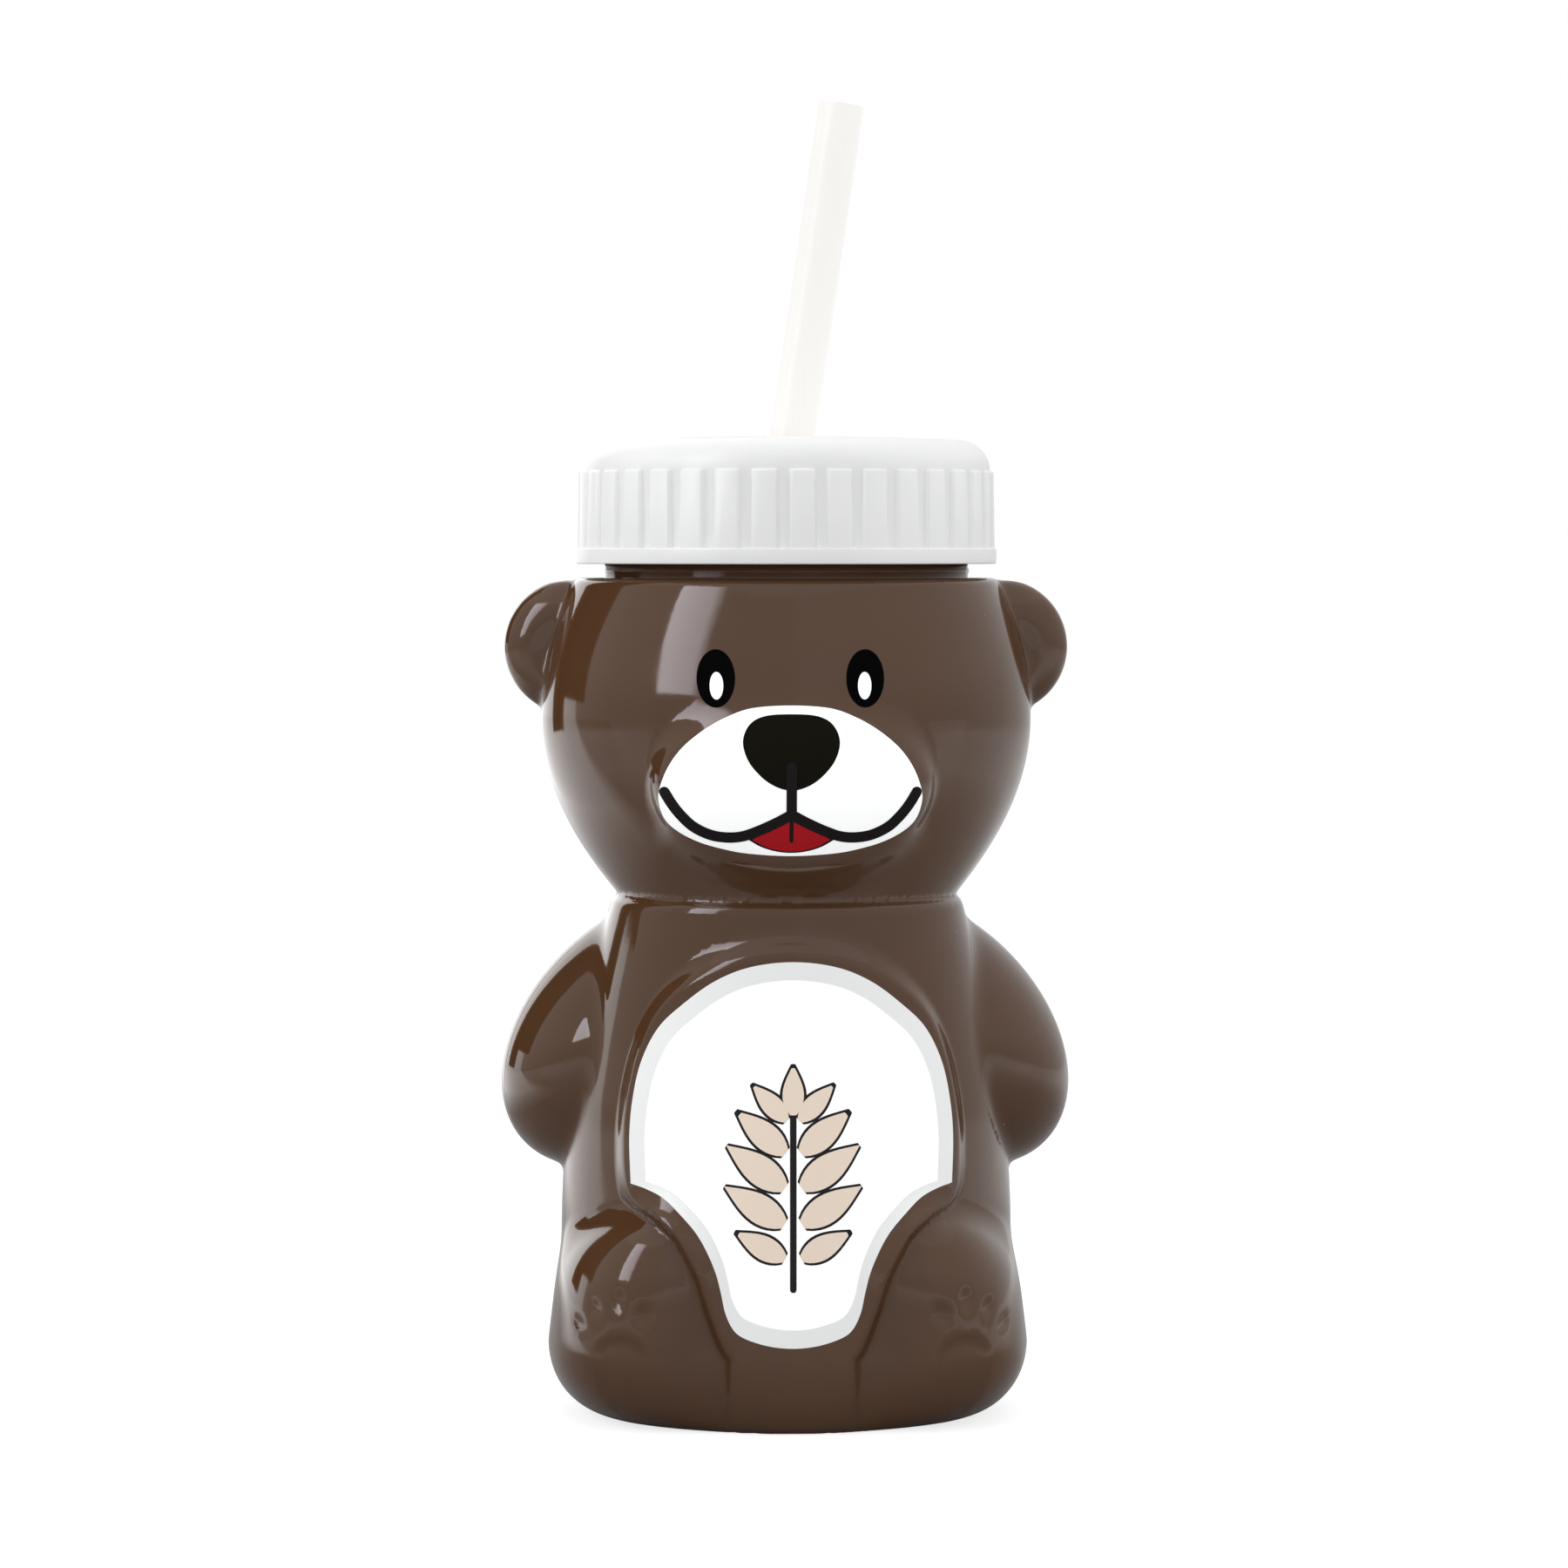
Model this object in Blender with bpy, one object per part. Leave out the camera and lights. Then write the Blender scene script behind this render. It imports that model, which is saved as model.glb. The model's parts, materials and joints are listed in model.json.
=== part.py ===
# Plastic straw bottle in the form of a sitting bear: a hollow body with a screw neck, a ribbed screw
# cap with a sealing ring under it, and a straight straw that leans in the hole of the cap.
# Metres, +Z up, the bear faces -Y. The origin is on the bottle's axis, on the plane that it stands on.

import math

import bmesh
import bpy
import numpy as np
from mathutils import Euler

# Gap between pieces that bear on each other
TOUCH_GAP = 0.0003

# Body: torso, from the base to the groove under the chin
WALL = 0.0012
TORSO_HEIGHT = 0.0815
TORSO_RADIUS = 0.0354
TORSO_WIDEST_HEIGHT = 0.0270
GROOVE_RADIUS = 0.0269
BASE_CORNER_HEIGHT = 0.0095
BASE_RING_RADIUS = 0.0290
BASE_RING_WIDTH = 0.0025
PUSH_UP_HEIGHT = 0.0025
PUSH_UP_SLOPE_WIDTH = 0.0045

# Body: head, from the groove to the shoulder under the neck
HEAD_HEIGHT = 0.0488
HEAD_RADIUS = 0.0384
HEAD_WIDEST_RISE = 0.0270
SHOULDER_RADIUS = 0.0330
SHOULDER_EDGE_RADIUS = 0.0010

# The front half of the torso and head is a little flatter than the back half
FRONT_DEPTH_SHARE = 0.95
# Radius of the fillets where limbs, ears and snout grow out of the body
FORM_FILLET = 0.0016

# Body: ears, arms, legs, snout and belly pad, as centres and half sizes
EAR_RADIUS = 0.0105
EAR_HALF_THICKNESS = 0.0052
EAR_OFFSET = 0.0336
EAR_RISE = 0.0110
ARM_HALF_LENGTH = 0.0270
ARM_HALF_WIDTH = 0.0185
ARM_HALF_DEPTH = 0.0125
ARM_OFFSET = 0.0218
ARM_FORWARD = 0.0050
ARM_HEIGHT = 0.0583
ARM_TILT = math.radians(50)
LEG_HALF_WIDTH = 0.0170
LEG_HALF_DEPTH = 0.0195
LEG_HALF_HEIGHT = 0.0180
LEG_OFFSET = 0.0200
LEG_FORWARD = 0.0185
LEG_HEIGHT = 0.0165
SNOUT_HALF_WIDTH = 0.0215
SNOUT_HALF_DEPTH = 0.0105
SNOUT_HALF_HEIGHT = 0.0150
SNOUT_FORWARD = 0.0298
SNOUT_DROP = 0.0090
PAD_RISE = 0.0010
PAD_HALF_WIDTH = 0.0265
PAD_HALF_HEIGHT = 0.0275
PAD_HEIGHT = 0.0495
PAD_FOOT_HALF_WIDTH = 0.0125
PAD_FOOT_HALF_HEIGHT = 0.0190
PAD_FOOT_HEIGHT = 0.0275
PAD_EDGE_WIDTH = 0.0030

# Neck with its screw thread
NECK_RADIUS = 0.0285
NECK_WALL = 0.0026
NECK_LENGTH = 0.0176
RIM_EDGE_RADIUS = 0.0005
THREAD_PITCH = 0.0042
THREAD_TURNS = 1.25
THREAD_DEPTH = 0.0013
THREAD_ROOT_WIDTH = 0.0019
THREAD_CREST_WIDTH = 0.0010
THREAD_START_RISE = 0.0077
THREAD_CLEARANCE = 0.00035
THREAD_EMBED = 0.0004

# Sealing ring between the rim and the cap
SEAL_THICKNESS = 0.0010
SEAL_OVERHANG = 0.0011

# Screw cap
NECK_SHOWING = 0.0022
CAP_WALL = 0.0018
CAP_TOP_WALL = 0.0016
CAP_CROWN = 0.0006
CAP_CORNER_RADIUS = 0.0048
CAP_LAND_WALL = 0.0023
FLANGE_HEIGHT = 0.00245
FLANGE_RADIUS_STEP = 0.0010
FLANGE_EDGE = 0.0003
RIB_COUNT = 35
RIB_HEIGHT = 0.0005
RIB_FACE_WIDTH_TOP = 0.0033
RIB_FACE_WIDTH_BOTTOM = 0.0037
RIB_FLANK_WIDTH = 0.0003
RIB_DRAFT = 0.00015
LAND_STEP_WIDTH = 0.0007
STRAW_HOLE_RADIUS = 0.0050

# Straw
STRAW_RADIUS = 0.00375
STRAW_WALL = 0.0005
STRAW_LENGTH = 0.2020
STRAW_LEAN = math.radians(8.35)

# Facets of the round pieces
BODY_COLUMNS = 56
COLUMN_BUNCH_SHARE = 0.25
CAP_COLUMNS = 2 * RIB_COUNT
INSIDE_COLUMNS = 48
STRAW_SIDES = 20
THREAD_STEPS_PER_TURN = 32
TORSO_ROWS = 19
HEAD_ROWS = 18
CORNER_ROWS = 4
SEARCH_STEPS = 160
HALVINGS = 30

# Heights and radii that follow from the sizes above
head_top = TORSO_HEIGHT + HEAD_HEIGHT
head_widest_height = TORSO_HEIGHT + HEAD_WIDEST_RISE
rim_height = head_top + NECK_LENGTH
neck_bore_radius = NECK_RADIUS - NECK_WALL
thread_crest_radius = NECK_RADIUS + THREAD_DEPTH
seal_bottom = rim_height + TOUCH_GAP
seal_top = seal_bottom + SEAL_THICKNESS
seal_land_height = seal_top + TOUCH_GAP
cap_bottom = head_top + NECK_SHOWING
cap_bore_radius = thread_crest_radius + THREAD_CLEARANCE
rib_root_radius = cap_bore_radius + CAP_WALL
rib_crest_radius = rib_root_radius + RIB_HEIGHT
flange_radius = rib_root_radius + FLANGE_RADIUS_STEP
rib_bottom = cap_bottom + FLANGE_HEIGHT
cap_corner_top = seal_land_height + CAP_LAND_WALL
rib_top = cap_corner_top - CAP_CORNER_RADIUS
cap_top = cap_corner_top + CAP_CROWN
cap_underside = cap_top - CAP_TOP_WALL
floor_height = PUSH_UP_HEIGHT + WALL
thread_start = head_top + THREAD_START_RISE

# The straw leans against the edge of its hole, and its lowest corner stands on the floor
hole_middle = (cap_top + cap_underside) / 2
straw_half_width = STRAW_RADIUS / math.cos(STRAW_LEAN)
straw_edge_shift = CAP_TOP_WALL / 2 * math.tan(STRAW_LEAN)
straw_offset = STRAW_HOLE_RADIUS - straw_half_width - straw_edge_shift - TOUCH_GAP
straw_foot_height = floor_height + TOUCH_GAP + STRAW_RADIUS * math.sin(STRAW_LEAN)
straw_foot_offset = straw_offset - (hole_middle - straw_foot_height) * math.tan(STRAW_LEAN)


# Forms of the body as signed distances: below zero inside

def ellipsoid(points, centre, half_sizes, tilt=0.0):
    """Distance from an ellipsoid that is tilted about the Y axis, good near its surface."""
    x, y, z = (points[..., i] - centre[i] for i in range(3))
    across = x * math.cos(tilt) + z * math.sin(tilt)
    along = z * math.cos(tilt) - x * math.sin(tilt)
    local = np.stack((across, y, along), axis=-1)
    scaled = np.linalg.norm(local / half_sizes, axis=-1)
    slope = np.linalg.norm(local / np.square(half_sizes), axis=-1)
    return scaled * (scaled - 1) / np.maximum(slope, np.finfo(float).tiny)


def bulged_round(points, widest_height, widest_radius, end_height, end_radius):
    """Distance from a body of revolution whose radius falls off as a parabola from its widest height."""
    x, y, z = (points[..., i] for i in range(3))
    depth = np.where(y < 0, FRONT_DEPTH_SHARE, 1.0)
    share = (z - widest_height) / (end_height - widest_height)
    radius = widest_radius + (end_radius - widest_radius) * share**2
    steepness = 2 * (end_radius - widest_radius) * share / (end_height - widest_height)
    return (np.hypot(x, y / depth) - radius) / np.hypot(1, steepness)


def blended(first, second):
    """The nearer of two forms, with a fillet where they meet."""
    overlap = np.maximum(FORM_FILLET - np.abs(first - second), 0) / FORM_FILLET
    return np.minimum(first, second) - overlap**2 * FORM_FILLET / 4


def torso(points):
    """Straight up to its widest height, then drawn in to the groove under the chin."""
    raised = points.copy()
    raised[..., 2] = np.maximum(points[..., 2], TORSO_WIDEST_HEIGHT)
    return bulged_round(raised, TORSO_WIDEST_HEIGHT, TORSO_RADIUS, TORSO_HEIGHT, GROOVE_RADIUS)


def head(points):
    lower = bulged_round(points, head_widest_height, HEAD_RADIUS, TORSO_HEIGHT, GROOVE_RADIUS)
    upper = bulged_round(points, head_widest_height, HEAD_RADIUS, head_top, SHOULDER_RADIUS)
    return np.where(points[..., 2] < head_widest_height, lower, upper)


def to_one_side(points):
    """The same points mirrored to +X, where the right arm, leg and ear are."""
    mirrored = points.copy()
    mirrored[..., 0] = np.abs(points[..., 0])
    return mirrored


def hollow_form(points):
    """Everything that the cavity follows: torso, head, snout, arms and legs."""
    mirrored = to_one_side(points)
    arm_centre = (ARM_OFFSET, -ARM_FORWARD, ARM_HEIGHT)
    arm_sizes = (ARM_HALF_WIDTH, ARM_HALF_DEPTH, ARM_HALF_LENGTH)
    leg_centre = (LEG_OFFSET, -LEG_FORWARD, LEG_HEIGHT)
    leg_sizes = (LEG_HALF_WIDTH, LEG_HALF_DEPTH, LEG_HALF_HEIGHT)
    snout_centre = (0, -SNOUT_FORWARD, head_widest_height - SNOUT_DROP)
    snout_sizes = (SNOUT_HALF_WIDTH, SNOUT_HALF_DEPTH, SNOUT_HALF_HEIGHT)
    form = blended(torso(points), head(points))
    form = blended(form, ellipsoid(mirrored, arm_centre, arm_sizes, ARM_TILT))
    form = blended(form, ellipsoid(mirrored, leg_centre, leg_sizes))
    return blended(form, ellipsoid(mirrored, snout_centre, snout_sizes))


def pad_share(points):
    """How far the belly pad stands out, from 0 beside it to 1 on it, seen from the front."""
    x, y, z = (points[..., i] for i in range(3))
    belly = np.hypot(x / PAD_HALF_WIDTH, (z - PAD_HEIGHT) / PAD_HALF_HEIGHT)
    foot = np.hypot(x / PAD_FOOT_HALF_WIDTH, (z - PAD_FOOT_HEIGHT) / PAD_FOOT_HALF_HEIGHT)
    inward = np.maximum((1 - belly) * PAD_HALF_WIDTH, (1 - foot) * PAD_FOOT_HALF_WIDTH)
    return np.clip(inward / PAD_EDGE_WIDTH, 0, 1) * (y < 0)


def outer_form(points):
    """The whole outside: the hollow forms with the solid ears and the belly pad."""
    ear_centre = (EAR_OFFSET, 0, head_widest_height + EAR_RISE)
    ear_sizes = (EAR_RADIUS, EAR_HALF_THICKNESS, EAR_RADIUS)
    form = blended(hollow_form(points), ellipsoid(to_one_side(points), ear_centre, ear_sizes))
    return form - PAD_RISE * pad_share(points)


def reach(form, inset, heights, angles):
    """Distance from the axis of the outermost point that lies inset inside the form, by row and column."""
    up, turn = np.meshgrid(heights, angles, indexing="ij")

    def is_inside(distance):
        points = np.stack((distance * np.cos(turn), distance * np.sin(turn), up), axis=-1)
        return form(points) < -inset

    farthest = TORSO_RADIUS + EAR_OFFSET + EAR_RADIUS
    inside = np.zeros_like(up)
    for distance in np.linspace(0, farthest, SEARCH_STEPS):
        inside = np.where(is_inside(np.full_like(up, distance)), distance, inside)
    outside = inside + farthest / (SEARCH_STEPS - 1)
    for _ in range(HALVINGS):
        middle = (outside + inside) / 2
        found = is_inside(middle)
        inside = np.where(found, middle, inside)
        outside = np.where(found, outside, middle)
    return inside


# Skins built ring by ring. Each ring runs anticlockwise seen from above, and the rings follow the
# profile with the solid on its left, so every face points out of the solid.

def even_angles(count):
    return np.arange(count) * math.tau / count


def column_angles():
    """Columns of the body, closer together at the ears, the front and the back."""
    even = even_angles(BODY_COLUMNS)
    return even - COLUMN_BUNCH_SHARE * np.sin(4 * even) / 4


def add_ring(mesh, angles, radii, height):
    places = zip(radii * np.cos(angles), radii * np.sin(angles))
    return [mesh.verts.new((x, y, height)) for x, y in places]


def angle_of(vertex):
    return math.atan2(vertex.co.y, vertex.co.x) % math.tau


def join_rings(mesh, first, second):
    """Faces between two rings, which may have unlike counts of points."""
    if len(first) == len(second):
        for i in range(len(first)):
            j = (i + 1) % len(first)
            mesh.faces.new((first[i], first[j], second[j], second[i]))
        return
    i = j = 0
    while i < len(first) or j < len(second):
        next_first = angle_of(first[i + 1]) if i + 1 < len(first) else math.tau
        next_second = angle_of(second[j + 1]) if j + 1 < len(second) else math.tau
        step_first = j == len(second) or (i < len(first) and next_first <= next_second)
        here = first[i % len(first)]
        there = second[j % len(second)]
        if step_first:
            i += 1
            mesh.faces.new((here, first[i % len(first)], there))
        else:
            j += 1
            mesh.faces.new((here, second[j % len(second)], there))


def join_all(mesh, rings):
    for first, second in zip(rings, rings[1:]):
        join_rings(mesh, first, second)


def close_with_point(mesh, ring, height, starts):
    """A fan from a ring to a point on the axis, where the profile starts or ends."""
    point = mesh.verts.new((0, 0, height))
    for i, vertex in enumerate(ring):
        following = ring[(i + 1) % len(ring)]
        mesh.faces.new((point, following, vertex) if starts else (vertex, following, point))


# Objects and materials

def plastic(name, colour, roughness):
    material = bpy.data.materials.new(name)
    material.use_nodes = True
    shader = material.node_tree.nodes["Principled BSDF"]
    shader.inputs["Base Color"].default_value = (*colour, 1.0)
    shader.inputs["Roughness"].default_value = roughness
    shader.inputs["Metallic"].default_value = 0.0
    return material


def add_object(name, mesh, material=None):
    data = bpy.data.meshes.new(name)
    mesh.to_mesh(data)
    mesh.free()
    if material:
        data.materials.append(material)
        data.shade_smooth()
        data.set_sharp_from_angle(angle=math.radians(35))
    made = bpy.data.objects.new(name, data)
    bpy.context.scene.collection.objects.link(made)
    return made


def unite(target, tool):
    """Boolean union of a helper solid into a piece."""
    tool.hide_render = True
    tool.display_type = "WIRE"
    union = target.modifiers.new("add " + tool.name, "BOOLEAN")
    union.operation = "UNION"
    union.object = tool


def thread_ridge(name, root_radius, crest_radius, start_height):
    """A right-hand thread ridge of trapezium section, from inside its wall to its crest."""
    mesh = bmesh.new()
    steps = round(THREAD_TURNS * THREAD_STEPS_PER_TURN)
    section = (
        (root_radius, -THREAD_ROOT_WIDTH / 2),
        (crest_radius, -THREAD_CREST_WIDTH / 2),
        (crest_radius, THREAD_CREST_WIDTH / 2),
        (root_radius, THREAD_ROOT_WIDTH / 2),
    )
    if crest_radius < root_radius:
        section = section[::-1]
    loops = []
    for step in range(steps + 1):
        angle = step * math.tau / THREAD_STEPS_PER_TURN
        rise = start_height + angle / math.tau * THREAD_PITCH
        loops.append([
            mesh.verts.new((radius * math.cos(angle), radius * math.sin(angle), rise + height))
            for radius, height in section
        ])
    for first, second in zip(loops, loops[1:]):
        for i in range(len(section)):
            j = (i + 1) % len(section)
            mesh.faces.new((first[i], second[i], second[j], first[j]))
    mesh.faces.new(loops[0])
    mesh.faces.new(loops[-1][::-1])
    return add_object(name, mesh)


# The pieces

def make_body():
    """Blow-moulded body: the bear's outside, the neck and the cavity as one closed skin."""
    angles = column_angles()
    depths = np.where(np.sin(angles) < 0, FRONT_DEPTH_SHARE, 1.0)
    base_shares = 1 / np.hypot(np.cos(angles), np.sin(angles) / depths)
    torso_rows = np.linspace(BASE_CORNER_HEIGHT, TORSO_HEIGHT, TORSO_ROWS)
    highest_shared_row = head_top - WALL - SHOULDER_EDGE_RADIUS
    head_rows = np.linspace(TORSO_HEIGHT, highest_shared_row, HEAD_ROWS)[1:]
    shared = np.concatenate((torso_rows, head_rows))
    heights = np.append(shared, head_top - SHOULDER_EDGE_RADIUS)
    outside = reach(outer_form, 0, heights, angles)
    inside = reach(hollow_form, WALL, shared, angles)
    mesh = bmesh.new()
    rings = []

    # Push-up and standing ring under the base
    ring_outer = BASE_RING_RADIUS * base_shares
    ring_inner = (BASE_RING_RADIUS - BASE_RING_WIDTH) * base_shares
    push_up_edge = (BASE_RING_RADIUS - BASE_RING_WIDTH - PUSH_UP_SLOPE_WIDTH) * base_shares
    rings.append(add_ring(mesh, angles, push_up_edge, PUSH_UP_HEIGHT))
    rings.append(add_ring(mesh, angles, ring_inner, 0))
    close_with_point(mesh, rings[0], PUSH_UP_HEIGHT, starts=True)

    # Rounded base corner, torso and head
    for turn in np.linspace(0, math.pi / 2, CORNER_ROWS, endpoint=False):
        radii = ring_outer + (outside[0] - ring_outer) * math.sin(turn)
        rings.append(add_ring(mesh, angles, radii, BASE_CORNER_HEIGHT * (1 - math.cos(turn))))
    for height, radii in zip(heights, outside):
        rings.append(add_ring(mesh, angles, radii, height))

    # Shoulder, neck and rim
    rings.append(add_ring(mesh, angles, outside[-1] - SHOULDER_EDGE_RADIUS, head_top))
    rings.append(add_ring(mesh, angles, NECK_RADIUS, head_top))
    rings.append(add_ring(mesh, angles, NECK_RADIUS, rim_height - RIM_EDGE_RADIUS))
    rings.append(add_ring(mesh, angles, NECK_RADIUS - RIM_EDGE_RADIUS, rim_height))
    rings.append(add_ring(mesh, angles, neck_bore_radius + RIM_EDGE_RADIUS, rim_height))
    rings.append(add_ring(mesh, angles, neck_bore_radius, rim_height - RIM_EDGE_RADIUS))

    # Cavity, from the neck down to the floor
    ceiling = head_top - WALL
    rings.append(add_ring(mesh, angles, neck_bore_radius, ceiling))
    rings.append(add_ring(mesh, angles, inside[-1] - SHOULDER_EDGE_RADIUS, ceiling))
    for height, radii in zip(shared[::-1], inside[::-1]):
        rings.append(add_ring(mesh, angles, radii, height))
    corner_foot = ring_outer - WALL
    for turn in np.linspace(0, math.pi / 2, CORNER_ROWS, endpoint=False)[::-1]:
        radii = corner_foot + (inside[0] - corner_foot) * math.sin(turn)
        rise = (BASE_CORNER_HEIGHT - WALL) * (1 - math.cos(turn))
        rings.append(add_ring(mesh, angles, radii, WALL + rise))
    rings.append(add_ring(mesh, angles, ring_inner, WALL))
    rings.append(add_ring(mesh, angles, push_up_edge, floor_height))
    close_with_point(mesh, rings[-1], floor_height, starts=False)
    join_all(mesh, rings)

    body = add_object("bottle_body", mesh, plastic("brown gloss plastic", (0.10, 0.065, 0.047), 0.22))
    unite(body, thread_ridge("neck thread", NECK_RADIUS - THREAD_EMBED, thread_crest_radius, thread_start))
    return body


def make_cap():
    """Ribbed screw cap: one skin over the dome, through the straw hole and back along the inside."""
    mesh = bmesh.new()
    around = even_angles(CAP_COLUMNS)
    inside = even_angles(INSIDE_COLUMNS)
    hole = even_angles(STRAW_SIDES)
    rings = [
        add_ring(mesh, inside, cap_bore_radius, cap_bottom),
        add_ring(mesh, around, flange_radius - FLANGE_EDGE, cap_bottom),
        add_ring(mesh, around, flange_radius, cap_bottom + FLANGE_EDGE),
        add_ring(mesh, around, flange_radius, rib_bottom - FLANGE_EDGE),
        add_ring(mesh, around, flange_radius - FLANGE_EDGE, rib_bottom),
    ]

    # Grip ribs, with faces that narrow upwards
    rib_rows = (
        (rib_bottom, rib_crest_radius + RIB_DRAFT, RIB_FACE_WIDTH_BOTTOM),
        (rib_top, rib_crest_radius, RIB_FACE_WIDTH_TOP),
    )
    for height, crest, face in rib_rows:
        half_face = face / crest / 2
        half_foot = half_face + RIB_FLANK_WIDTH / crest
        middle = (np.arange(RIB_COUNT) + 1 / 2) * math.tau / RIB_COUNT
        turns = np.stack((-half_foot, -half_face, half_face, half_foot) + middle[:, None], axis=0)
        radii = np.broadcast_to((rib_root_radius, crest, crest, rib_root_radius), turns.shape)
        rings.append(add_ring(mesh, turns.ravel(), radii.ravel(), height))

    # Dome: a round corner, then a slightly crowned top down to the edge of the straw hole
    corner_centre = rib_root_radius - CAP_CORNER_RADIUS
    for turn in np.linspace(0, math.pi / 2, CORNER_ROWS + 1):
        radius = corner_centre + CAP_CORNER_RADIUS * math.cos(turn)
        rings.append(add_ring(mesh, around, radius, rib_top + CAP_CORNER_RADIUS * math.sin(turn)))
    crown_share = 1 - (STRAW_HOLE_RADIUS / corner_centre) ** 2
    rings.append(add_ring(mesh, hole, STRAW_HOLE_RADIUS, cap_corner_top + CAP_CROWN * crown_share))

    # Underside, the step that clears the rim's land, and the bore with its thread
    land_inner_radius = neck_bore_radius - SEAL_OVERHANG
    rings.append(add_ring(mesh, hole, STRAW_HOLE_RADIUS, cap_underside))
    rings.append(add_ring(mesh, inside, land_inner_radius - LAND_STEP_WIDTH, cap_underside))
    rings.append(add_ring(mesh, inside, land_inner_radius, seal_land_height))
    rings.append(add_ring(mesh, inside, cap_bore_radius, seal_land_height))
    rings.append(rings[0])
    join_all(mesh, rings)

    cap = add_object("screw_cap", mesh, plastic("white polypropylene", (0.88, 0.88, 0.87), 0.35))
    flank_drop = (THREAD_ROOT_WIDTH + THREAD_CREST_WIDTH) / 2 + THREAD_CLEARANCE
    root = cap_bore_radius + THREAD_EMBED
    crest = NECK_RADIUS + THREAD_CLEARANCE
    unite(cap, thread_ridge("cap thread", root, crest, thread_start - flank_drop))
    return cap


def make_seal():
    """Flat sealing ring that the cap presses on the rim."""
    mesh = bmesh.new()
    around = even_angles(INSIDE_COLUMNS)
    inner = neck_bore_radius - SEAL_OVERHANG + TOUCH_GAP
    outer = thread_crest_radius - TOUCH_GAP
    rings = [
        add_ring(mesh, around, inner, seal_bottom),
        add_ring(mesh, around, outer, seal_bottom),
        add_ring(mesh, around, outer, seal_top),
        add_ring(mesh, around, inner, seal_top),
    ]
    join_all(mesh, rings + rings[:1])
    return add_object("cap_seal", mesh, plastic("soft sealing foam", (0.80, 0.80, 0.78), 0.6))


def make_straw():
    """Straight tube on its own axis, turned to its lean and set on the floor of the bottle."""
    mesh = bmesh.new()
    around = even_angles(STRAW_SIDES)
    bore = STRAW_RADIUS - STRAW_WALL
    rings = [
        add_ring(mesh, around, bore, 0),
        add_ring(mesh, around, STRAW_RADIUS, 0),
        add_ring(mesh, around, STRAW_RADIUS, STRAW_LENGTH),
        add_ring(mesh, around, bore, STRAW_LENGTH),
    ]
    join_all(mesh, rings + rings[:1])
    straw = add_object("straw", mesh, plastic("translucent white plastic", (0.93, 0.93, 0.92), 0.3))
    straw.location = (straw_foot_offset, 0, straw_foot_height)
    straw.rotation_euler = Euler((0, STRAW_LEAN, 0))
    return straw


def main():
    for old in list(bpy.data.objects):
        bpy.data.objects.remove(old, do_unlink=True)
    make_body()
    make_cap()
    make_seal()
    make_straw()


main()
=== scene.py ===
# Looks of a plastic straw bottle in the form of a sitting bear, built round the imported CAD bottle.
# The bear faces -Y and stands on Z = 0. Sizes are millimetres, and mm turns them into Blender's metres.

import json
import math

import bmesh
import bpy
import numpy as np
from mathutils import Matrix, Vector
from mathutils.geometry import delaunay_2d_cdt


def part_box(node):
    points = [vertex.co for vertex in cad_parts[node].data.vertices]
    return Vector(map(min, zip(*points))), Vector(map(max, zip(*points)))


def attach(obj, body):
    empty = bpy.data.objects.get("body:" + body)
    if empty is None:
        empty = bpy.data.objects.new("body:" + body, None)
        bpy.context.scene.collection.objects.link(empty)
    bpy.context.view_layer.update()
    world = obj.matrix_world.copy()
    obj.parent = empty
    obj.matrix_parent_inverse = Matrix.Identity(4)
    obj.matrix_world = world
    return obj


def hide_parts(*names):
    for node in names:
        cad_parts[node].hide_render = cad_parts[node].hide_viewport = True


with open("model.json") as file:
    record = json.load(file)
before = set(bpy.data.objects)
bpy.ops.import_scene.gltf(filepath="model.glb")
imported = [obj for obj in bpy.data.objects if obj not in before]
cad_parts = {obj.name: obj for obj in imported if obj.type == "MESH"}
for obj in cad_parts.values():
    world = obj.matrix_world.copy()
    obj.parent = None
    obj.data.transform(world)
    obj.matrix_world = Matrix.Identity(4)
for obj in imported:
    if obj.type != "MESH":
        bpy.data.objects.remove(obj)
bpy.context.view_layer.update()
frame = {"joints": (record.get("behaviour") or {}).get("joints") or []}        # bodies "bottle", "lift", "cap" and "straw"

mm = 0.001


# Small helpers for nodes and colours

def hexColour(code):
    shares = [int(code[i:i + 2], 16) / 255 for i in (1, 3, 5)]
    linear = [s / 12.92 if s <= 0.04045 else ((s + 0.055) / 1.055) ** 2.4 for s in shares]
    return (*linear, 1.0)


def linkInto(tree, node, links):
    # Each link comes from a socket, or from the first output of a node
    for key, source in links.items():
        tree.links.new(getattr(source, "outputs", (source,))[0], node.inputs[key])


def addNode(tree, kind, settings=None, links=None):
    made = tree.nodes.new(kind)
    for key, value in (settings or {}).items():
        if isinstance(key, int) or key in made.inputs:
            made.inputs[key].default_value = value
        else:
            setattr(made, key, value)
    linkInto(tree, made, links or {})
    return made


def newMaterial(name, colour, roughness, settings=None):
    made = bpy.data.materials.new(name)
    made.use_nodes = True
    tree = made.node_tree
    shader = tree.nodes["Principled BSDF"]
    for key, value in {"Base Color": hexColour(colour), "Roughness": roughness, **(settings or {})}.items():
        shader.inputs[key].default_value = value
    return made, tree, shader


# Small helpers for meshes

def sharpen(piece, angle):
    piece.data.shade_smooth()
    piece.data.set_sharp_from_angle(angle=math.radians(angle))


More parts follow.
